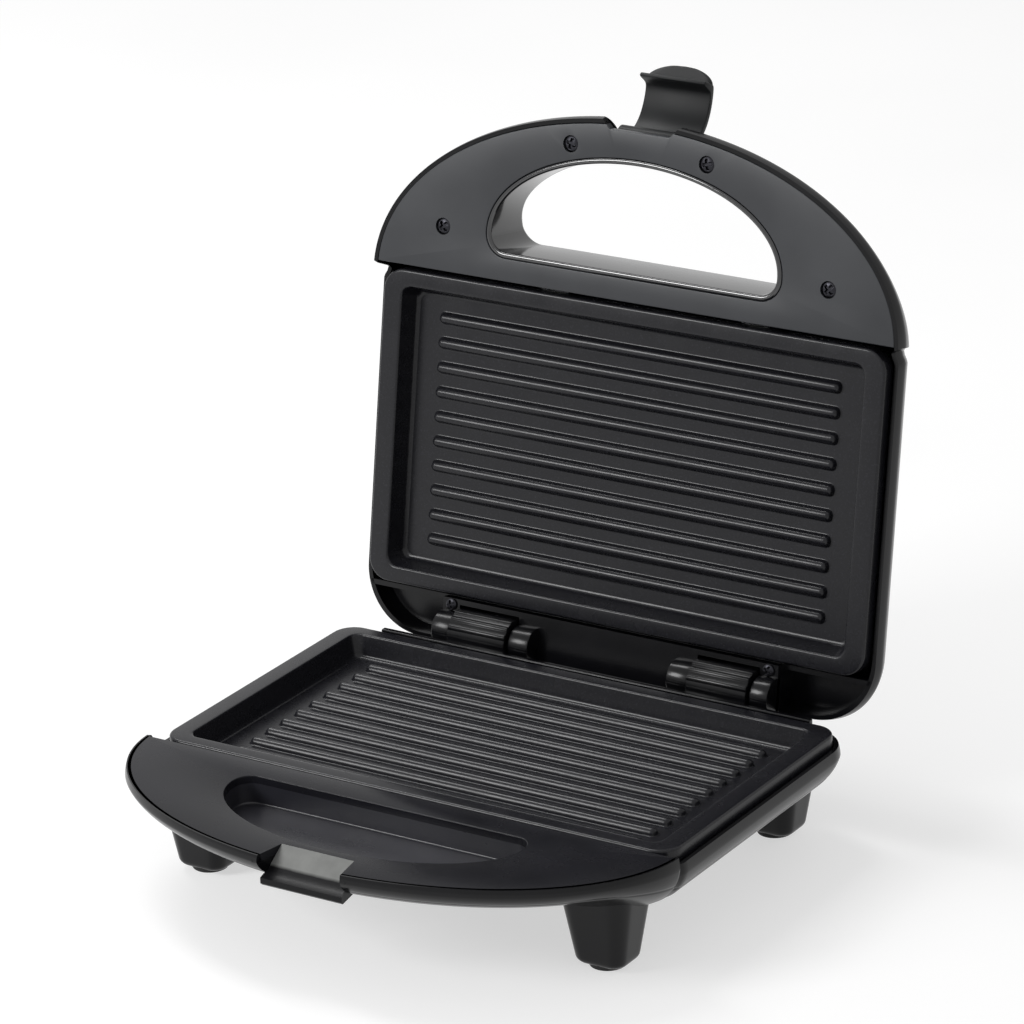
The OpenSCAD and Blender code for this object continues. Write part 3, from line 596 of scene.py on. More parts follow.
def prism(curve, z0, z1):
    """A flat closed curve carried from one depth to another."""
    return skin(np.stack([at_depth(curve, z0), at_depth(curve, z1)]))


def turned_form(profile, x, other, n=48, axis="z", ends="poles"):
    """A profile of (radius, height) turned about a line along z or y: x + r cos, other + r sin, height."""
    a = np.linspace(0, 2 * math.pi, n, endpoint=False)
    profile = np.array(profile, float)
    r, h = profile[:, :1], np.repeat(profile[:, 1:], n, 1)
    across, through = x + r * np.cos(a), other + r * np.sin(a)
    return skin(np.stack([across, through, h] if axis == "z" else [across, h, through], -1), ends)


NOTCH_MOUTH, NOTCH, RIM_NOTCH = 36.5, (31.5, -121.2), (26.0, -130.3)


def notch_curve(inner, inner_y):
    """The notch seen from above: its mouth at the front, its narrower end further back."""
    m, i = NOTCH_MOUTH / 2, inner / 2
    return np.array([[-m, FRONT_Y - 5], [m, FRONT_Y - 5], [m, FRONT_Y], [i, inner_y], [-i, inner_y],
                     [-m, FRONT_Y]])


print("a block has", len(block(0, 1, 0, 1, 0, 1)[0]), "corners")

# %% [markdown]
# ## The housings
#
# The outside of each half is one glossy moulding. Its rings follow the housing formula closely enough that
# reflections run over it without facets. A solid cutter then opens the D-shaped hole, the notch of the
# clip, the slots of the hinge and the holes of the lenses: a Boolean is the direct way, as a cutter is in
# a workshop. A fine parting seam runs round the base.

# %% Lid shell
lid_notch = prism(notch_curve(*NOTCH), COVER_BACK, 45)
lid_cover_notch = prism(notch_curve(*RIM_NOTCH), -1, 45)
SLOT_IN, SLOT_OUT, SLOT_R, PAD_HALF_W = 40.5, 68.2, 10.0, 76.0
slots = [block(s * SLOT_IN, s * SLOT_OUT, HINGE_Y - SLOT_R, HINGE_Y + 20, -1, 13) for s in (-1, 1)]
lens_holes = [turned_form([(0.1, 20), (3.2, 20), (3.2, 50), (0.1, 50)], x, -40) for x in (-13, 13)]
lid_shell = new_mesh("lid_shell", *outward([housing_skin(LID)], lid_place))
carved(lid_shell, lid_place, [prism(grip_curve(1.2), 5, 45), lid_notch, *slots, *lens_holes], [lid_cover_notch])
dressed(lid_shell, "lid", *GLOSS, ["lid_housing"])

# %% Base shell
BASE_SCREWS = [(-70, -100), (-32, -121.5), (32, -121.5), (70, -100)]
PLATE_SCREWS = [(-90, -40), (90, -40), (-90, 40), (90, 40)]
FEET = [(-88, -68), (88, -68), (-85, 59), (85, 59)]
TRAY_BACK, TRAY_BOTTOM = 20.6, 19.8
wells = [turned_form([(0.1, 5), (3.6, 5), (3.6, 45), (0.1, 45)], *q) for q in BASE_SCREWS]
wells += [turned_form([(0.1, 9), (3.8, 9), (3.8, 45), (0.1, 45)], *q) for q in PLATE_SCREWS]
base_notch = prism(notch_curve(*NOTCH), -1, 40)
base_shell = new_mesh("base_shell", *outward([housing_skin(BASE, 0.42)], base_place))
carved(base_shell, base_place, [base_notch, *wells])
dressed(base_shell, "base", *GLOSS, ["base_housing"])

# %% [markdown]
# ## Walls, wells and feet of the housings
#
# Behind the openings the moulding has walls of its own. The wall of the D-shaped hole starts at the
# parting side as a small round lip and flares out into the back of the lid, so that fingers meet no edge.
# Each well that holds a screw ends just under the outside, whose depth comes from the housing formula.


# %% Walls and wells
def hole_wall():
    """Section (offset, depth) round the D: lip, straight wall, quarter circle that meets the outside."""
    flare = 2.5
    rim = outside_depth(LID, *grip_curve(flare).T) + 0.02
    t = np.radians(np.linspace(0, 90, 7))
    front = [(LIP_T, 3.2), (LIP_T, 1.0), *zip(1.3 + 0.9 * np.cos(t), 0.9 - 0.9 * np.sin(t)),
             *zip(1.0 - 1.0 * np.sin(t), 1.0 - 1.0 * np.cos(t))]
    rings = [at_depth(grip_curve(o), z) for o, z in front]
    rings += [at_depth(grip_curve(flare - flare * c), rim - flare + flare * s)
              for c, s in zip(np.cos(t), np.sin(t))]
    rings += [at_depth(grip_curve(o), z) for o, z in ((flare, rim - 0.9), (2.0, rim - 1.8), (2.0, 3.2))]
    return skin(np.array(rings), ends="round")


def notch_wall(half):
    """Wall round three sides of a notch: a path, its parallel 2 mm out, and a far edge under the skin."""
    m, i, inner_y = NOTCH_MOUTH / 2, NOTCH[0] / 2, NOTCH[1]
    t = np.linspace(0, 1, 12)[None, :, None]
    corners = np.array([[-m, FRONT_Y + 1.5], [-i, inner_y], [i, inner_y], [m, FRONT_Y + 1.5]])
    path, out = ((c[:-1, None] + (c[1:] - c[:-1])[:, None] * t).reshape(-1, 2)
                 for c in (corners, corners + [[-2, 0], [-2, 2], [2, 2], [2, 0]]))
    low = [outside_depth(half, *c.T) - 0.5 for c in (path, out)]
    levels = ((path, COVER_BACK), (path, low[0]), (out, low[1]), (out, COVER_BACK))
    return skin(np.stack([at_depth(curve, z) for curve, z in levels], 1))


def well(x, y, inner, floor, head):
    """A cup for a screw: outside wall of radius 5, rim just under the skin, bore down to its floor."""
    a = np.linspace(0, 2 * math.pi, 40, endpoint=False)
    turn = np.stack([np.cos(a), np.sin(a)], -1)
    wide, narrow, foot_ring = ([x, y] + r * turn for r in (5.0, inner, inner - 0.3))
    rim_out, rim_in = (outside_depth(BASE, *c.T) - 0.35 for c in (wide, narrow))
    levels = ((wide, head), (wide, rim_out), (narrow, rim_in), (narrow, floor + 0.3), (foot_ring, floor))
    return skin(np.array([at_depth(curve, z) for curve, z in levels]), ends="poles")


piece("lid_hole_wall", [hole_wall()], *ON_LID, "gloss_shell", grip_abs)
piece("lid_notch_wall", [notch_wall(LID)], *ON_LID, *GLOSS)
piece("base_notch_wall", [notch_wall(BASE)], *ON_BASE, *GLOSS)
piece("base_wells", [well(*q, 3.6, 7.6, COVER_BACK) for q in BASE_SCREWS]
      + [well(*q, 3.8, 24.4, TRAY_BACK) for q in PLATE_SCREWS], *ON_BASE, *GLOSS)


# %% Finger pocket and feet
def finger_pocket():
    """D-shaped dish: floor, quarter circle of 0.8 mm into the wall, rim, outside and underside."""
    t, fillet, floor_z = np.radians(np.linspace(0, 90, 8)), 0.8, POCKET + COVER_Z
    middle = grip_curve(-6.5) * 0.05 + [0, -90]
    rings = [at_depth(middle, floor_z), at_depth(grip_curve(-6.5), floor_z)]
    rings += [at_depth(grip_curve(-fillet * (1 - math.sin(a))), floor_z - fillet * (1 - math.cos(a)))
              for a in t]
    rings += [at_depth(grip_curve(o), z) for o, z in ((0, 3.35), (2, 3.35), (2, 12.6), (1.4, 13.2))]
    return skin(np.array([*rings, at_depth(middle, 13.3)]), ends="poles")


def foot(x, y):
    """Rounded rectangle that tapers from 30 x 26 mm to 20 x 17 mm, with a 2.5 mm rounded lower edge."""
    wide, deep, corner, top, tall, edge = 30, 26, 7, 15, 30, 2.5
    turn = np.radians(np.linspace(15, 90, 6))
    inset = np.concatenate([np.zeros(14), edge * (1 - np.cos(turn))])
    z = top + np.concatenate([np.linspace(0, tall - edge, 14), tall - edge + edge * np.sin(turn)])
    shrink = 1 - (z - top) / tall / 3
    rings = [at_depth(round_rect((wide - 2 * e) * k, (deep - 2 * e) * k, corner * k, 8) + [x, y], h)
             for k, e, h in zip(shrink, inset, z)]
    return skin(np.array(rings), ends="poles")


piece("base_finger_pocket", [finger_pocket()], *ON_BASE, "gloss_shell", pocket_abs)
piece("base_feet", [foot(*q) for q in FEET], *ON_BASE, *GLOSS)

# %% [markdown]
# ## The hinge
#
# Two towers on the base reach into slots of the lid. The front of each tower's round head carries three
# fine ridges, where the lid's edge would rub when it swings. A narrow ledge between the plate and the rear
# wall closes the view through to the floor. Ears on the lid stand on both sides of each tower and hold the
# pin. Behind the plate the lid has a raised pad between the ears and a sunk floor beside them. These are
# joined from blocks, cut to the inside of the shell, and their edges rounded by a Bevel.


# %% Hinge towers
def tower_section():
    """Head of radius 8.8 with three round ridges of radius 1.4, standing on a straight block; (y, depth)."""
    head_r, ridge_at, ridge_r = 8.8, 7.9, 1.4
    t = np.radians(np.linspace(-90, 90, 181))
    r = np.full(len(t), head_r)
    for at in np.radians([12, 36, 60]):
        s = ridge_at * np.sin(t - at)
        ridge = ridge_at * np.cos(t - at) + np.sqrt(np.maximum(ridge_r ** 2 - s ** 2, 0))
        r = np.maximum(r, np.where(np.abs(s) < ridge_r, ridge, 0))
    head = np.stack([HINGE_Y - r * np.sin(t), -r * np.cos(t)], -1)
    stem = np.array([[-10.5, 12], [-15, 19.5], [-21.5, 25.5], [-3, 22.5], [0, 20], [0, 14], [head_r, 14]])
    return np.concatenate([head, stem + [HINGE_Y, 0]])


TOWER_SPANS = [(41.2, 67.5), (-67.5, -41.2)]
piece("hinge_towers", [carried(tower_section(), *span) for span in TOWER_SPANS], *ON_BASE, *GLOSS, sharp=30)
ledge = round_rect(2.6, 7, 0.6, 3, 4) + [66.7, 4.7]
piece("base_rear_ledge", [carried(ledge, -97, 97)], *ON_BASE, *GLOSS, sharp=30)

# %% Ears, pad and sunk floors of the lid
EAR_R, EAR_IN = 7.1, 31.5
ear_turn = np.radians(np.linspace(0, 180, 40))
ear = np.stack([HINGE_Y + EAR_R * np.cos(ear_turn), -EAR_R * np.sin(ear_turn)], -1)
ear = np.concatenate([ear, [[HINGE_Y - EAR_R, 15], [HINGE_Y + EAR_R, 15]]])
spans = [(SLOT_OUT, PAD_HALF_W), (EAR_IN, SLOT_IN), (-PAD_HALF_W, -SLOT_OUT), (-SLOT_IN, -EAR_IN)]
piece("lid_hinge_ears", [carried(ear, *span) for span in spans], *ON_LID, *GLOSS, sharp=30)
raised_pad = block(-PAD_HALF_W, PAD_HALF_W, 64.4, 88.4, 0.8, 2.8)
wall_behind_plate = block(-116, 116, 64.4, 66.4, 5.3, 15)
pad_front = block(-PAD_HALF_W, PAD_HALF_W, 64.45, 66.35, 0.85, 14.9)
sunk_floor = block(-116, 116, 64.5, 88.3, 13, 15.1)
cheeks = [block(*span, 64.6, 88.2, 0.9, 14.8)
          for span in ((PAD_HALF_W - 2, PAD_HALF_W - 0.05), (0.05 - PAD_HALF_W, 2 - PAD_HALF_W))]
rear_frame = new_mesh("lid_rear_frame", *outward([raised_pad], lid_place))
carved(rear_frame, lid_place, [wall_behind_plate], [pad_front], [sunk_floor], [cheeks[0]], [cheeks[1]],
       operation="UNION")
carved(rear_frame, lid_place, [housing_core(LID)], operation="INTERSECT")
carved(rear_frame, lid_place, slots)
dressed(rear_frame, "lid", *GLOSS, sharp=30)
edge = rear_frame.modifiers.new("moulded_edges", "BEVEL")
edge.width, edge.segments, edge.limit_method, edge.angle_limit = 0.0004, 2, "ANGLE", math.radians(50)

# %% [markdown]
# ## The handle covers
#
# Each cover is a flat crescent plate with the D-shaped opening in it. To mesh a plate with a hole, rays are
# sent out from the middle of the hole: each ray meets both curves, so the outer and the inner curve get
# points at the same angles, and simple quads join them. The edges are rounded by rings that step in.


# %% Handle covers
def crescent_curve(inset, notch=None):
    """Half ellipse closed by a straight edge, with a shallow notch at the front if one is given."""
    a, b = HANDLE_W / 2 - inset, REACH - inset
    start = math.asin((COVER_EDGE_Y - CRESCENT_Y) / b)
    x = notch[0] / 2 + notch[2] if notch else 0
    end = -math.acos(x / a) if notch else -math.pi / 2
    t = np.linspace(start, end, 150)
    side = np.stack([a * np.cos(t), CRESCENT_Y + b * np.sin(t)], -1)
    half = np.concatenate([side, [[notch[0] / 2, notch[1]]]]) if notch else side[:-1]
    return np.concatenate([half, half[::-1] * [-1, 1]])[::-1]


def cover(outer, inner):
    """Plate between two curves: face, rims rounded by 0.4 mm and back, as a ring of rings."""
    centre, soft = np.array([0.0, -95.0]), 0.4
    found = [np.arctan2(*(c - centre).T[::-1]) for c in (outer, inner)]
    angles = np.unique(np.round(np.concatenate([*found, np.linspace(-math.pi, math.pi, 240)]), 4))[:-1]
    angles = angles[np.append(True, np.diff(angles) > 0.0015)]
    out, hole = same_angles(outer, centre, angles), same_angles(inner, centre, angles)
    rims = [(soft * (1 - math.sin(a)), COVER_Z + soft * (1 - math.cos(a)))
            for a in np.radians(np.linspace(0, 90, 5))]
    sides = [at_depth(moved_in(out, inset), z) for inset, z in rims]
    sides += [at_depth(out, COVER_BACK), at_depth(hole, COVER_BACK)]
    sides += [at_depth(moved_in(hole, -inset), z) for inset, z in rims[::-1]]
    return skin(np.array(sides), ends="round")


COVER_SCREWS = [(-85.7, -82.5), (-30.1, -122.3), (30.1, -122.3), (85.7, -82.5)]
lid_outline = crescent_curve(2.9, (*RIM_NOTCH, 1.75))
lid_cover = new_mesh("lid_cover", *outward([cover(lid_outline, grip_curve(LIP_T + 0.15))], lid_place))
sinks = [turned_form([(0.1, -1), (3.35, -1), (3.35, 2.8), (0.1, 2.8)], *q) for q in COVER_SCREWS]
carved(lid_cover, lid_place, sinks)
dressed(lid_cover, "lid", "cover_grey", cover_abs, ["lid_handle_cover"])
base_cover = new_mesh("base_cover", *outward([cover(crescent_curve(1.3), grip_curve(0))], base_place))
carved(base_cover, base_place, [base_notch])
dressed(base_cover, "base", "cover_dark", base_cover_abs, ["base_handle_cover"])

# %% [markdown]
# ## The grill plates
#
# A plate is cast in one piece: a flat flange, a skirt that turns down at the edge, a recess with leaning
# walls and ten long ribs with round ends. The flange, skirt and walls are rounded rectangles stacked as
# rings. The floor is a height field: a rib's height depends only on the distance from its middle line, and
# the grid lines crowd together at the ribs' flanks and ends, where the height changes fast.


# %% Grill plate
MIDDLE_RIB = (RIB_COUNT - 1) / 2


def rib_rise(x, y):
    """Height over the floor: a round crown within 2.3 mm of the middle line, and a small fillet outside."""
    nearest = (np.round((y / RIB_PITCH) - 0.5) + 0.5) * RIB_PITCH
    nearest = np.clip(nearest, -MIDDLE_RIB * RIB_PITCH, MIDDLE_RIB * RIB_PITCH)
    d = np.hypot(np.maximum(np.abs(x) - RIB_LEN / 2, 0), y - nearest)
    half = RIB_W / 2
    crown = RIB_H * np.sqrt(np.maximum(1 - (np.minimum(d, half) / half) ** 2.2, 0))
    fillet = 0.5 * np.clip(1 - (d - half + 0.25) / 0.7, 0, 1) ** 2
    return np.maximum(crown, fillet)


def grill_floor():
    """Closed slab: the ribbed face over a grid, its underside, and a rim that joins the two."""
    w, d = RECESS_W / 2 - RECESS_LEAN - 1.2, RECESS_D / 2 - RECESS_LEAN - 1.2
    near = np.array([-3.6, -3.1, -2.75, -2.5, -2.35, -2.27, -2.15, -1.95, -1.65, -1.25, -0.8, -0.4, 0])
    lines = ((np.arange(RIB_COUNT) - MIDDLE_RIB) * RIB_PITCH)[:, None] + np.concatenate([near, -near[-2::-1]])
    y = np.concatenate([[-d, -d + 1.5], lines.ravel(), [d - 1.5, d]])
    past = np.array([0, 0.4, 0.8, 1.15, 1.45, 1.7, 1.9, 2.05, 2.17, 2.26, 2.33, 2.42, 2.55, 2.8, 3.2])
    tip = RIB_LEN / 2 + past
    x = np.concatenate([-tip[::-1], np.linspace(-RIB_LEN / 2, RIB_LEN / 2, 30)[1:-1], tip])
    x = np.concatenate([[-w, -w + 3], x, [w - 3, w]])
    gx, gy = np.meshgrid(x, y, indexing="ij")
    top = np.stack([gx, gy, FLOOR_Z - rib_rise(gx, gy)], -1)
    under = np.stack([gx, gy, np.full(gx.shape, FLOOR_BACK_Z - 0.05)], -1)
    m, n = gx.shape
    i, j = np.meshgrid(np.arange(m - 1), np.arange(n - 1), indexing="ij")
    face = np.stack([i * n + j, (i + 1) * n + j, (i + 1) * n + j + 1, i * n + j + 1], -1).reshape(-1, 4)
    rim = np.concatenate([np.arange(m) * n, (m - 1) * n + np.arange(1, n), np.arange(m - 2, -1, -1) * n + n - 1,
                          np.arange(n - 2, 0, -1)])
    ahead = np.roll(rim, -1)
    side = np.stack([rim, rim + m * n, ahead + m * n, ahead], -1)
    return np.concatenate([top.reshape(-1, 3), under.reshape(-1, 3)]), [face, face[:, ::-1] + m * n, side]


def grill_frame():
    """Ring of rings, each (size, growth, corner radius, z): skirt, edge, flange, wall, fillet and back."""
    t = np.radians(np.linspace(0, 90, 6))
    plate, recess = (PLATE_W, PLATE_D), (RECESS_W, RECESS_D)
    floor = (RECESS_W - 2 * RECESS_LEAN, RECESS_D - 2 * RECESS_LEAN)
    edge, rim, fillet, skirt_z, back_z = 1.1, 1.8, 3.4, FLANGE_Z + SKIRT_H, FLANGE_Z + CAST
    steps = [(plate, 0, PLATE_R, skirt_z)]
    steps += [(plate, -2 * e, PLATE_R - e, FLANGE_Z + edge - edge * math.sin(a))
              for a in t for e in [edge * (1 - math.cos(a))]]
    steps += [(recess, 3, RECESS_R + 1.5, FLANGE_Z)]
    steps += [(recess, rim - 0.4 - rim * math.sin(a), RECESS_R + 0.5, FLANGE_Z + 0.9 * (1 - math.cos(a)))
              for a in t]
    steps += [(floor, 0.6 - fillet * (1 - math.cos(a)), fillet, FLOOR_Z - 1.7 + 1.72 * math.sin(a)) for a in t]
    steps += [(floor, -3, 2.0, FLOOR_BACK_Z - 0.1), (floor, 3.8, 5.0, FLOOR_BACK_Z), (recess, 4.8, 6.0, back_z),
              (plate, -5.2, 6.4, back_z), (plate, -4.8, 6.6, skirt_z)]
    return skin(np.array([at_depth(round_rect(size[0] + grow, size[1] + grow, r, 40), z)
                          for size, grow, r, z in steps]), ends="round")


bosses = [turned_form([(4, 11.5), (4, 19.5), (3.7, 19.8), (1.5, 19.8), (1.5, 13)], *q) for q in PLATE_SCREWS]
plate_parts = [grill_frame(), grill_floor(), *bosses]
piece("lower_plate", plate_parts, *ON_BASE, "nonstick", nonstick, ["base_plate"], 40)
piece("upper_plate", plate_parts, *ON_LID, "nonstick", nonstick, ["lid_plate"], 40)

# %% [markdown]
# ## Clip and catch
#
# The clip is a curved blade on a pin, with a hook for the catch and a half-round tab for the finger. Its
# side view is a closed line of a few points. Cutting the corners of that line three times over gives a
# smooth curve, and the curve is carried across the clip's width. It is drawn hooked and then swung open.


# %% Clip
def corners_cut(line, rounds):
    """Each side keeps its points at a quarter and three quarters, so corners turn into curves."""
    for _ in range(rounds):
        ahead = np.roll(line, -1, 0)
        line = np.stack([0.75 * line + 0.25 * ahead, 0.25 * line + 0.75 * ahead], 1).reshape(-1, 2)
    return line


LATCH_W, PIN_Y, PIN_Z, LATCH_ANGLE, HOOK_Z = 29.0, -127.4, 11.0, math.radians(120), -12.9
blade = [[-128.2, 9.2], [-131.5, 8.9], [-134.2, 6.2], [-135.7, 2], [-136, -2.4], [-135.2, -7],
         [-133.6, HOOK_Z + 1.4], [-132, HOOK_Z], [-126.6, HOOK_Z], [-126.2, HOOK_Z - 0.8], [-126.9, HOOK_Z - 2],
         [-131, HOOK_Z - 2.4], [-133.4, -16.2], [-135.7, -12], [-137.4, -7.4], [-138.3, -2.4], [-138, 2.8],
         [-136, 8], [-132.8, 11.2], [-128.2, 11.9]]


def finger_tab():
    """Half-ellipse tab: at each height its half-width is 14.5 sqrt(1 - s^2), its thickness tapers."""
    s = np.sin(np.radians(np.linspace(-12, 88, 26)))
    s[0] = -0.2
    root, drop = -14.4, 7.4
    z = root - drop * s
    k = (root - z) / 9.6
    low, high = -130.6 - 2.0 * k, -133.6 - 1.2 * k
    a = np.linspace(0, 2 * math.pi, 72, endpoint=False)
    across = np.sign(np.cos(a)) * np.abs(np.cos(a)) ** 0.25
    through = np.sign(np.sin(a)) * np.abs(np.sin(a)) ** 0.6
    half = LATCH_W / 2 * np.sqrt(np.maximum(1 - np.maximum(s, 0) ** 2, 0))
    middle, thick = (low + high) / 2, (low - high) / 2 * np.clip(half / 6, 0.35, 1)
    return skin(np.stack([half[:, None] * across, middle[:, None] + thick[:, None] * through,
                          np.repeat(z[:, None], len(a), 1)], -1), ends="poles")


def clip_place(p):
    """Closed-lid place turned back about the pin by 120 degrees, then set with the lid."""
    y, z, c, s = p[..., 1] - PIN_Y, p[..., 2] - PIN_Z, math.cos(LATCH_ANGLE), math.sin(LATCH_ANGLE)
    return lid_place(np.stack([p[..., 0], PIN_Y + y * c + z * s, PIN_Z - y * s + z * c], -1))


BARREL_R = 3.4
barrel_turn = np.radians(np.linspace(0, 360, 48, endpoint=False))
barrel = np.stack([PIN_Y + BARREL_R * np.cos(barrel_turn), PIN_Z + BARREL_R * np.sin(barrel_turn)], -1)
piece("clip", [carried(corners_cut(np.array(blade), 3), -LATCH_W / 2, LATCH_W / 2, 0.35),
               carried(barrel, -LATCH_W / 2, LATCH_W / 2, 0.5), finger_tab()],
      clip_place, "latch", "clip_grey", clip_nylon, ["latch"], 50)

# %% [markdown]
# The catch is the same kind of nylon. Its slope is painted pale, as a painted reflection of the bright studio,
# and the lip below is painted dark, as a painted shade. So the colour follows the height of the point, with a
# little cloud to break the edge.

# %% Catch
catch_line = np.array([[NOTCH[1], COVER_Z], [NOTCH[1], 12.4], [FRONT_Y + 3.4, 12.4], [FRONT_Y + 2.6, 11.6],
                       [FRONT_Y + 2.6, 9.4], [FRONT_Y + 4.4, 8.4], [FRONT_Y + 6.6, 7.6]])
play, taper = 0.1, (NOTCH_MOUTH - NOTCH[0]) / 2
inward = np.clip((catch_line[:, 0] - FRONT_Y) / (NOTCH[1] - FRONT_Y), 0, 1)
half_width = NOTCH_MOUTH / 2 - play - taper * inward
# Painted light: below the lower height the catch is painted dark as painted shade, and above the upper height
# it is painted pale as a painted reflection.
PAINTED_SHADE_BELOW, PAINTED_SHEEN_ABOVE = 0.0402, 0.0412
catch_nylon, tree, place, shader = start_material("nylon_with_painted_sheen_and_shade")
height = add_node(tree, "ShaderNodeSeparateXYZ", links={"Vector": (place, "Object")})
painted_sheen_by_height = add_node(tree, "ShaderNodeMapRange", links={"Value": (height, "Z")},
                values={"From Min": PAINTED_SHADE_BELOW, "From Max": PAINTED_SHEEN_ABOVE, "To Min": 0.0, "To Max": 0.7})
cloud = add_node(tree, "ShaderNodeTexNoise", values={"Scale": per_mm(6.0)}, links={"Vector": (place, "Object")})
painted_light_and_cloud = add_node(tree, "ShaderNodeMath", {"operation": "MULTIPLY_ADD"}, values={1: 0.3},
                links={0: (cloud, "Fac"), 2: (painted_sheen_by_height, "Result")})
shades = add_node(tree, "ShaderNodeValToRGB", links={"Fac": (painted_light_and_cloud, "Value")})
# The dark stop is the painted shade on the lip and the pale stop is the painted reflection on the slope.
for stop, at, code in zip(shades.color_ramp.elements, (0.2, 0.9), ("#131315", "#868785")):
    stop.position, stop.color = at, linear(code)
tree.links.new(shades.outputs["Color"], shader.inputs["Base Color"])
shader.inputs["IOR"].default_value = 1.25
uneven_gloss(tree, place, shader, 18.0, 0.26, 0.34)
relief(tree, place, shader, [(0.6, 0.03, 0.4), (6.0, 0.1, 0.3)])
piece("clip_catch", [carried(catch_line, -1, 1, 0.02, half_width)], *ON_BASE, "catch", catch_nylon,
      ["base_catch"], 30)

# %% [markdown]
# ## Screws
#
# A screw head is a height field in polar form: a low dome with a cross sunk into it. The cross is deepest
# at the middle and its four arms end in slopes, as a cross driver leaves them. Below the head the rings go
# on as the shank, whose radius follows a spiral, so that the thread is there when the screw is taken out.


# %% Screws
def screw(x, y, z, head_r, head_h, shank_r, shank_h, up_side=-1.0):
    """Rings: dome minus cross, side of the head, threaded shank and tip; up_side is the way the head looks.
    The cross is turned by x taken as radians, so that no two screws of a row stand alike."""
    around, down = 72, 60
    a = np.linspace(0, 2 * math.pi, around, endpoint=False)
    r = np.concatenate([[0.03], np.linspace(0.08, 0.92, 24), [0.96, 0.985, 1.0]])[:, None] * head_r
    u, v = np.abs(r * np.cos(a + x)), np.abs(r * np.sin(a + x))
    wide, long = 0.19 * head_r, 0.78 * head_r
    arms = [smooth_step((wide - p) / (0.5 * wide) + 0.5) * smooth_step((long - q) / (0.4 * long))
            for p, q in ((u, v), (v, u))]
    dome = 0.45 * head_h * (r / head_r) ** 3
    face = dome + 0.75 * head_h * np.maximum(*arms)
    turn = np.linspace(0, 1, down)[:, None]
    thread = shank_r * (1 + 0.12 * np.abs(((turn * shank_h / 0.9 - a / (2 * math.pi)) % 1) * 2 - 1) - 0.12)
    thread = thread * (1 - smooth_step((turn - 0.9) / 0.1) * 0.6)
    radius = np.concatenate([np.broadcast_to(r, (len(r), around)), np.full((1, around), head_r), thread])
    depth = np.concatenate([np.broadcast_to(face, (len(r), around)), np.full((1, around), head_h),
                            np.broadcast_to(head_h + turn * shank_h, (down, around))])
    return skin(np.stack([x + radius * np.cos(a), y + radius * np.sin(a), z - up_side * depth], -1), "poles")


TABS = [(-45, -68.5), (45, -68.5)]
BLACKENED, ZINC = ("screw_black", screw_black), ("screw_steel", screw_steel)
piece("cover_screws", [screw(*q, COVER_Z + 0.1, 3.1, 1.4, 1.25, 9) for q in COVER_SCREWS], *ON_LID, *BLACKENED,
      ["lid_cover_screws"], 40)
piece("ear_screws", [screw(s * 71.9, 66.9, -0.4, 2.4, 1.2, 1.2, 8) for s in (-1, 1)], *ON_LID, *BLACKENED,
      ["hinge_screws"], 40)
piece("base_cover_screws", [screw(*q, 9.6, 3.2, 2.0, 1.3, 6.2, 1.0) for q in BASE_SCREWS], *ON_BASE, *ZINC,
      ["base_screws"], 40)
piece("lower_plate_screws", [screw(*q, 26.6, 3.4, 2.2, 1.5, 11, 1.0) for q in PLATE_SCREWS], *ON_BASE, *ZINC,
      ["base_plate_screws"], 40)
piece("upper_plate_screws", [screw(*q, TRAY_BACK + 1.6, 3.2, 1.6, 1.5, 6, 1.0) for q in PLATE_SCREWS]
      + [screw(*q, TRAY_BOTTOM - 1.6, 3.2, 1.6, 1.3, 7) for q in TABS], *ON_LID, *ZINC,
      ["lid_plate_screws"], 40)

# %% [markdown]
# ## Lenses, pads and the cord outlet
#
# These small parts are all turned about an axis: two domed lenses on the back of the lid, one red and one
# green, a rubber pad under each foot, and the rubber sleeve in the round boss where the cord would leave.

# %% Turned parts
dome = [(3.0, 28), (3.15, 28.2), (3.15, 34), (4.4, 34), (4.4, 34.3)]
dome += [(4.3 * math.cos(b) + 0.05, 34.3 + 0.88 * math.sin(b)) for b in np.radians(np.linspace(8, 86, 9))]
piece("power_lens_cap", [turned_form(dome, -13, -40)], *ON_LID, "red_lens", red_lens, ["power_lens"], 40)
piece("ready_lens_cap", [turned_form(dome, 13, -40)], *ON_LID, "green_lens", green_lens, ["ready_lens"], 40)
pad = [(6.6, 45), (7.0, 45.2), (7.0, 46.4), (6.8, 46.8), (6.4, 46.99), (4.6, 47.0), (4.3, 46.6), (3.6, 46.6),
       (3.3, 47.0), (0.3, 47.0)]
piece("rubber_pads", [turned_form(pad, *q) for q in FEET], *ON_BASE, "foot_rubber", foot_rubber,
      ["foot_pads"], 40)
BOSS_X, BOSS_DEPTH = -30.0, 18.5
ABOUT_CORD = (BOSS_X, BOSS_DEPTH, 56, "y", "round")
boss = [(5.05, 53), (8, 53), (8, 69.1), (7.6, 69.55), (5.3, 69.6), (5.05, 69.4)]
cord_boss = new_mesh("cord_boss", *outward([turned_form(boss, *ABOUT_CORD)], base_place))
carved(cord_boss, base_place, [block(BOSS_X - 9, BOSS_X + 9, 50, 59.5, 5, 12.3)])
dressed(cord_boss, "base", *GLOSS)
grooves = [(5.5, 71.6), (5.4, 72.3), (4.9, 72.5), (4.85, 73.0)]
sleeve = [(3.5, 53.4), (4.95, 53.4), (4.95, 69.6), (6.3, 69.6), (6.6, 69.9), (6.6, 70.8), (6.3, 71.2),
          (5.6, 71.2)]
sleeve += [(r - 0.21 * ring, min(y + 1.5 * ring, 77.6)) for ring in range(4) for r, y in grooves]
sleeve += [(3.5, 77.55)]
piece("cord_sleeve", [turned_form(sleeve, *ABOUT_CORD)], *ON_BASE, "gland_rubber", gland_rubber,
      ["cord_gland"], 40)

# %% [markdown]
# ## Parts inside that keep their CAD shape
#
# Heater tubes, trays, thermostat, fuse, terminal block, lamp holder and pins are simple shapes behind the
# plates. Their solids are good as they are, so they only get their materials, one per node.

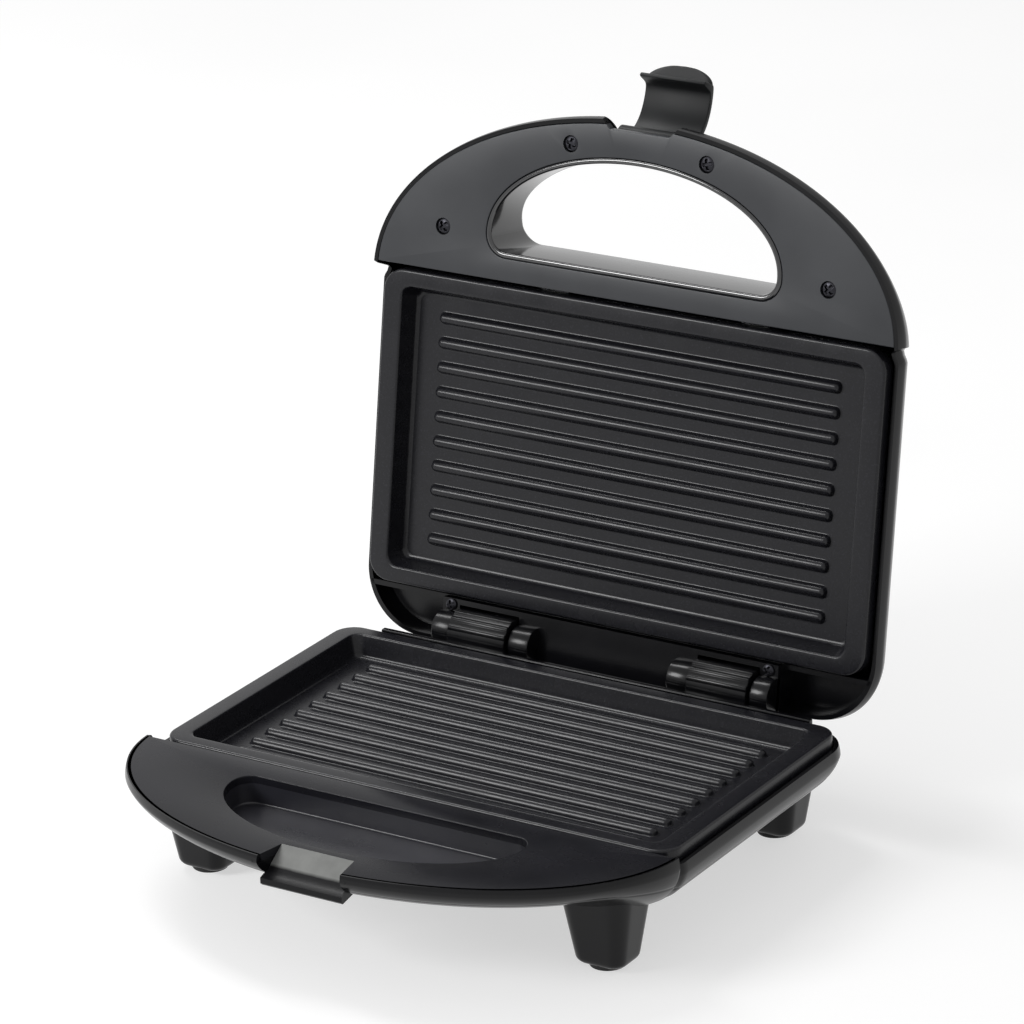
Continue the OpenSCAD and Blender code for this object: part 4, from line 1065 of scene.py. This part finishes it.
# %% Materials for the inner nodes
inner = {"base_heater": heater_steel, "lid_heater": heater_steel, "base_reflector": tray_steel,
         "lid_reflector": tray_steel, "thermostat": ceramic, "thermal_fuse": fuse_glaze,
         "terminal_block": terminal_plastic, "lamp_holder": lamp_plastic, "hinge_pins": pin_steel,
         "latch_pin": pin_steel}
for name, material in inner.items():
    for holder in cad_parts[name].material_slots:
        holder.material = material
print("inner nodes dressed:", len(inner))

# %% [markdown]
# ## Floor, light and surroundings
#
# The picture was taken in a white studio. A black glossy object shows that studio in its reflections, so the
# world and the floor are white for the camera and for reflections, and dimmer for the soft light they shed.
# The lamps hang on the left, because the round ribs mirror the camera's view to that side: a long strip
# overhead draws the bright lines on the lower ribs, and a softbox at the front draws those of the lid.

# %% Floor and light
def level_for(tree, others, seen):
    """A strength of one value for diffuse light and another for camera, glossy and transmission rays."""
    path = add_node(tree, "ShaderNodeLightPath")
    both = add_node(tree, "ShaderNodeMath", {"operation": "MAXIMUM"},
                    links={0: (path, "Is Camera Ray"), 1: (path, "Is Glossy Ray")})
    every = add_node(tree, "ShaderNodeMath", {"operation": "MAXIMUM"},
                     links={0: (both, "Value"), 1: (path, "Is Transmission Ray")})
    return add_node(tree, "ShaderNodeMapRange", values={"To Min": others, "To Max": seen},
                    links={"Value": (every, "Value")})


floor_corners = np.array([[-6.0, -6, 0], [6, -6, 0], [6, 6, 0], [-6, 6, 0]])
floor = new_mesh("floor", floor_corners, [np.array([[0, 1, 2, 3]])])
floor_paint, tree, place, shader = start_material("white_studio_floor")
tint(tree, place, shader, 400.0, "#b2b2b2", "#b8b8b8")
shader.inputs["Roughness"].default_value = 0.8
shader.inputs["Emission Color"].default_value = (1, 1, 1, 1)
tree.links.new(level_for(tree, 0.0, 0.58).outputs["Result"], shader.inputs["Emission Strength"])
floor.data.materials.append(floor_paint)

world = bpy.data.worlds.new("white_studio")
bpy.context.scene.world = world
world.use_nodes = True
sky = world.node_tree
sky.nodes.clear()
air = add_node(sky, "ShaderNodeBackground", links={"Strength": (level_for(sky, 0.55, 1.0), "Result")})
add_node(sky, "ShaderNodeOutputWorld", links={"Surface": (air, "Background")})


def lamp(name, at, look_at, width, height, watts):
    """A rectangular lamp at a place, turned to a point, its width level."""
    light = bpy.data.lights.new(name, "AREA")
    light.shape, light.size, light.size_y, light.energy = "RECTANGLE", width, height, watts
    made = bpy.data.objects.new(name, light)
    bpy.context.scene.collection.objects.link(made)
    z = np.array(at, float) - np.array(look_at, float)
    z /= np.linalg.norm(z)
    x = np.cross([0.0, 0.0, 1.0], z)
    x /= np.linalg.norm(x)
    made.matrix_world = Matrix.Translation(at) @ Matrix(np.array([x, np.cross(z, x), z]).T.tolist()).to_4x4()


lamp("overhead_strip", (-0.85, 0.3, 1.45), (0.0, 0.0, 0.1), 0.35, 1.0, 10.0)
lamp("front_left_softbox", (-0.8, -1.12, 0.82), (0.0, 0.0, 0.12), 0.5, 0.5, 12.0)
view = bpy.context.scene.view_settings
view.view_transform = "Standard"

# %% [markdown]
# ## The end

# %% End
print("end of the script")
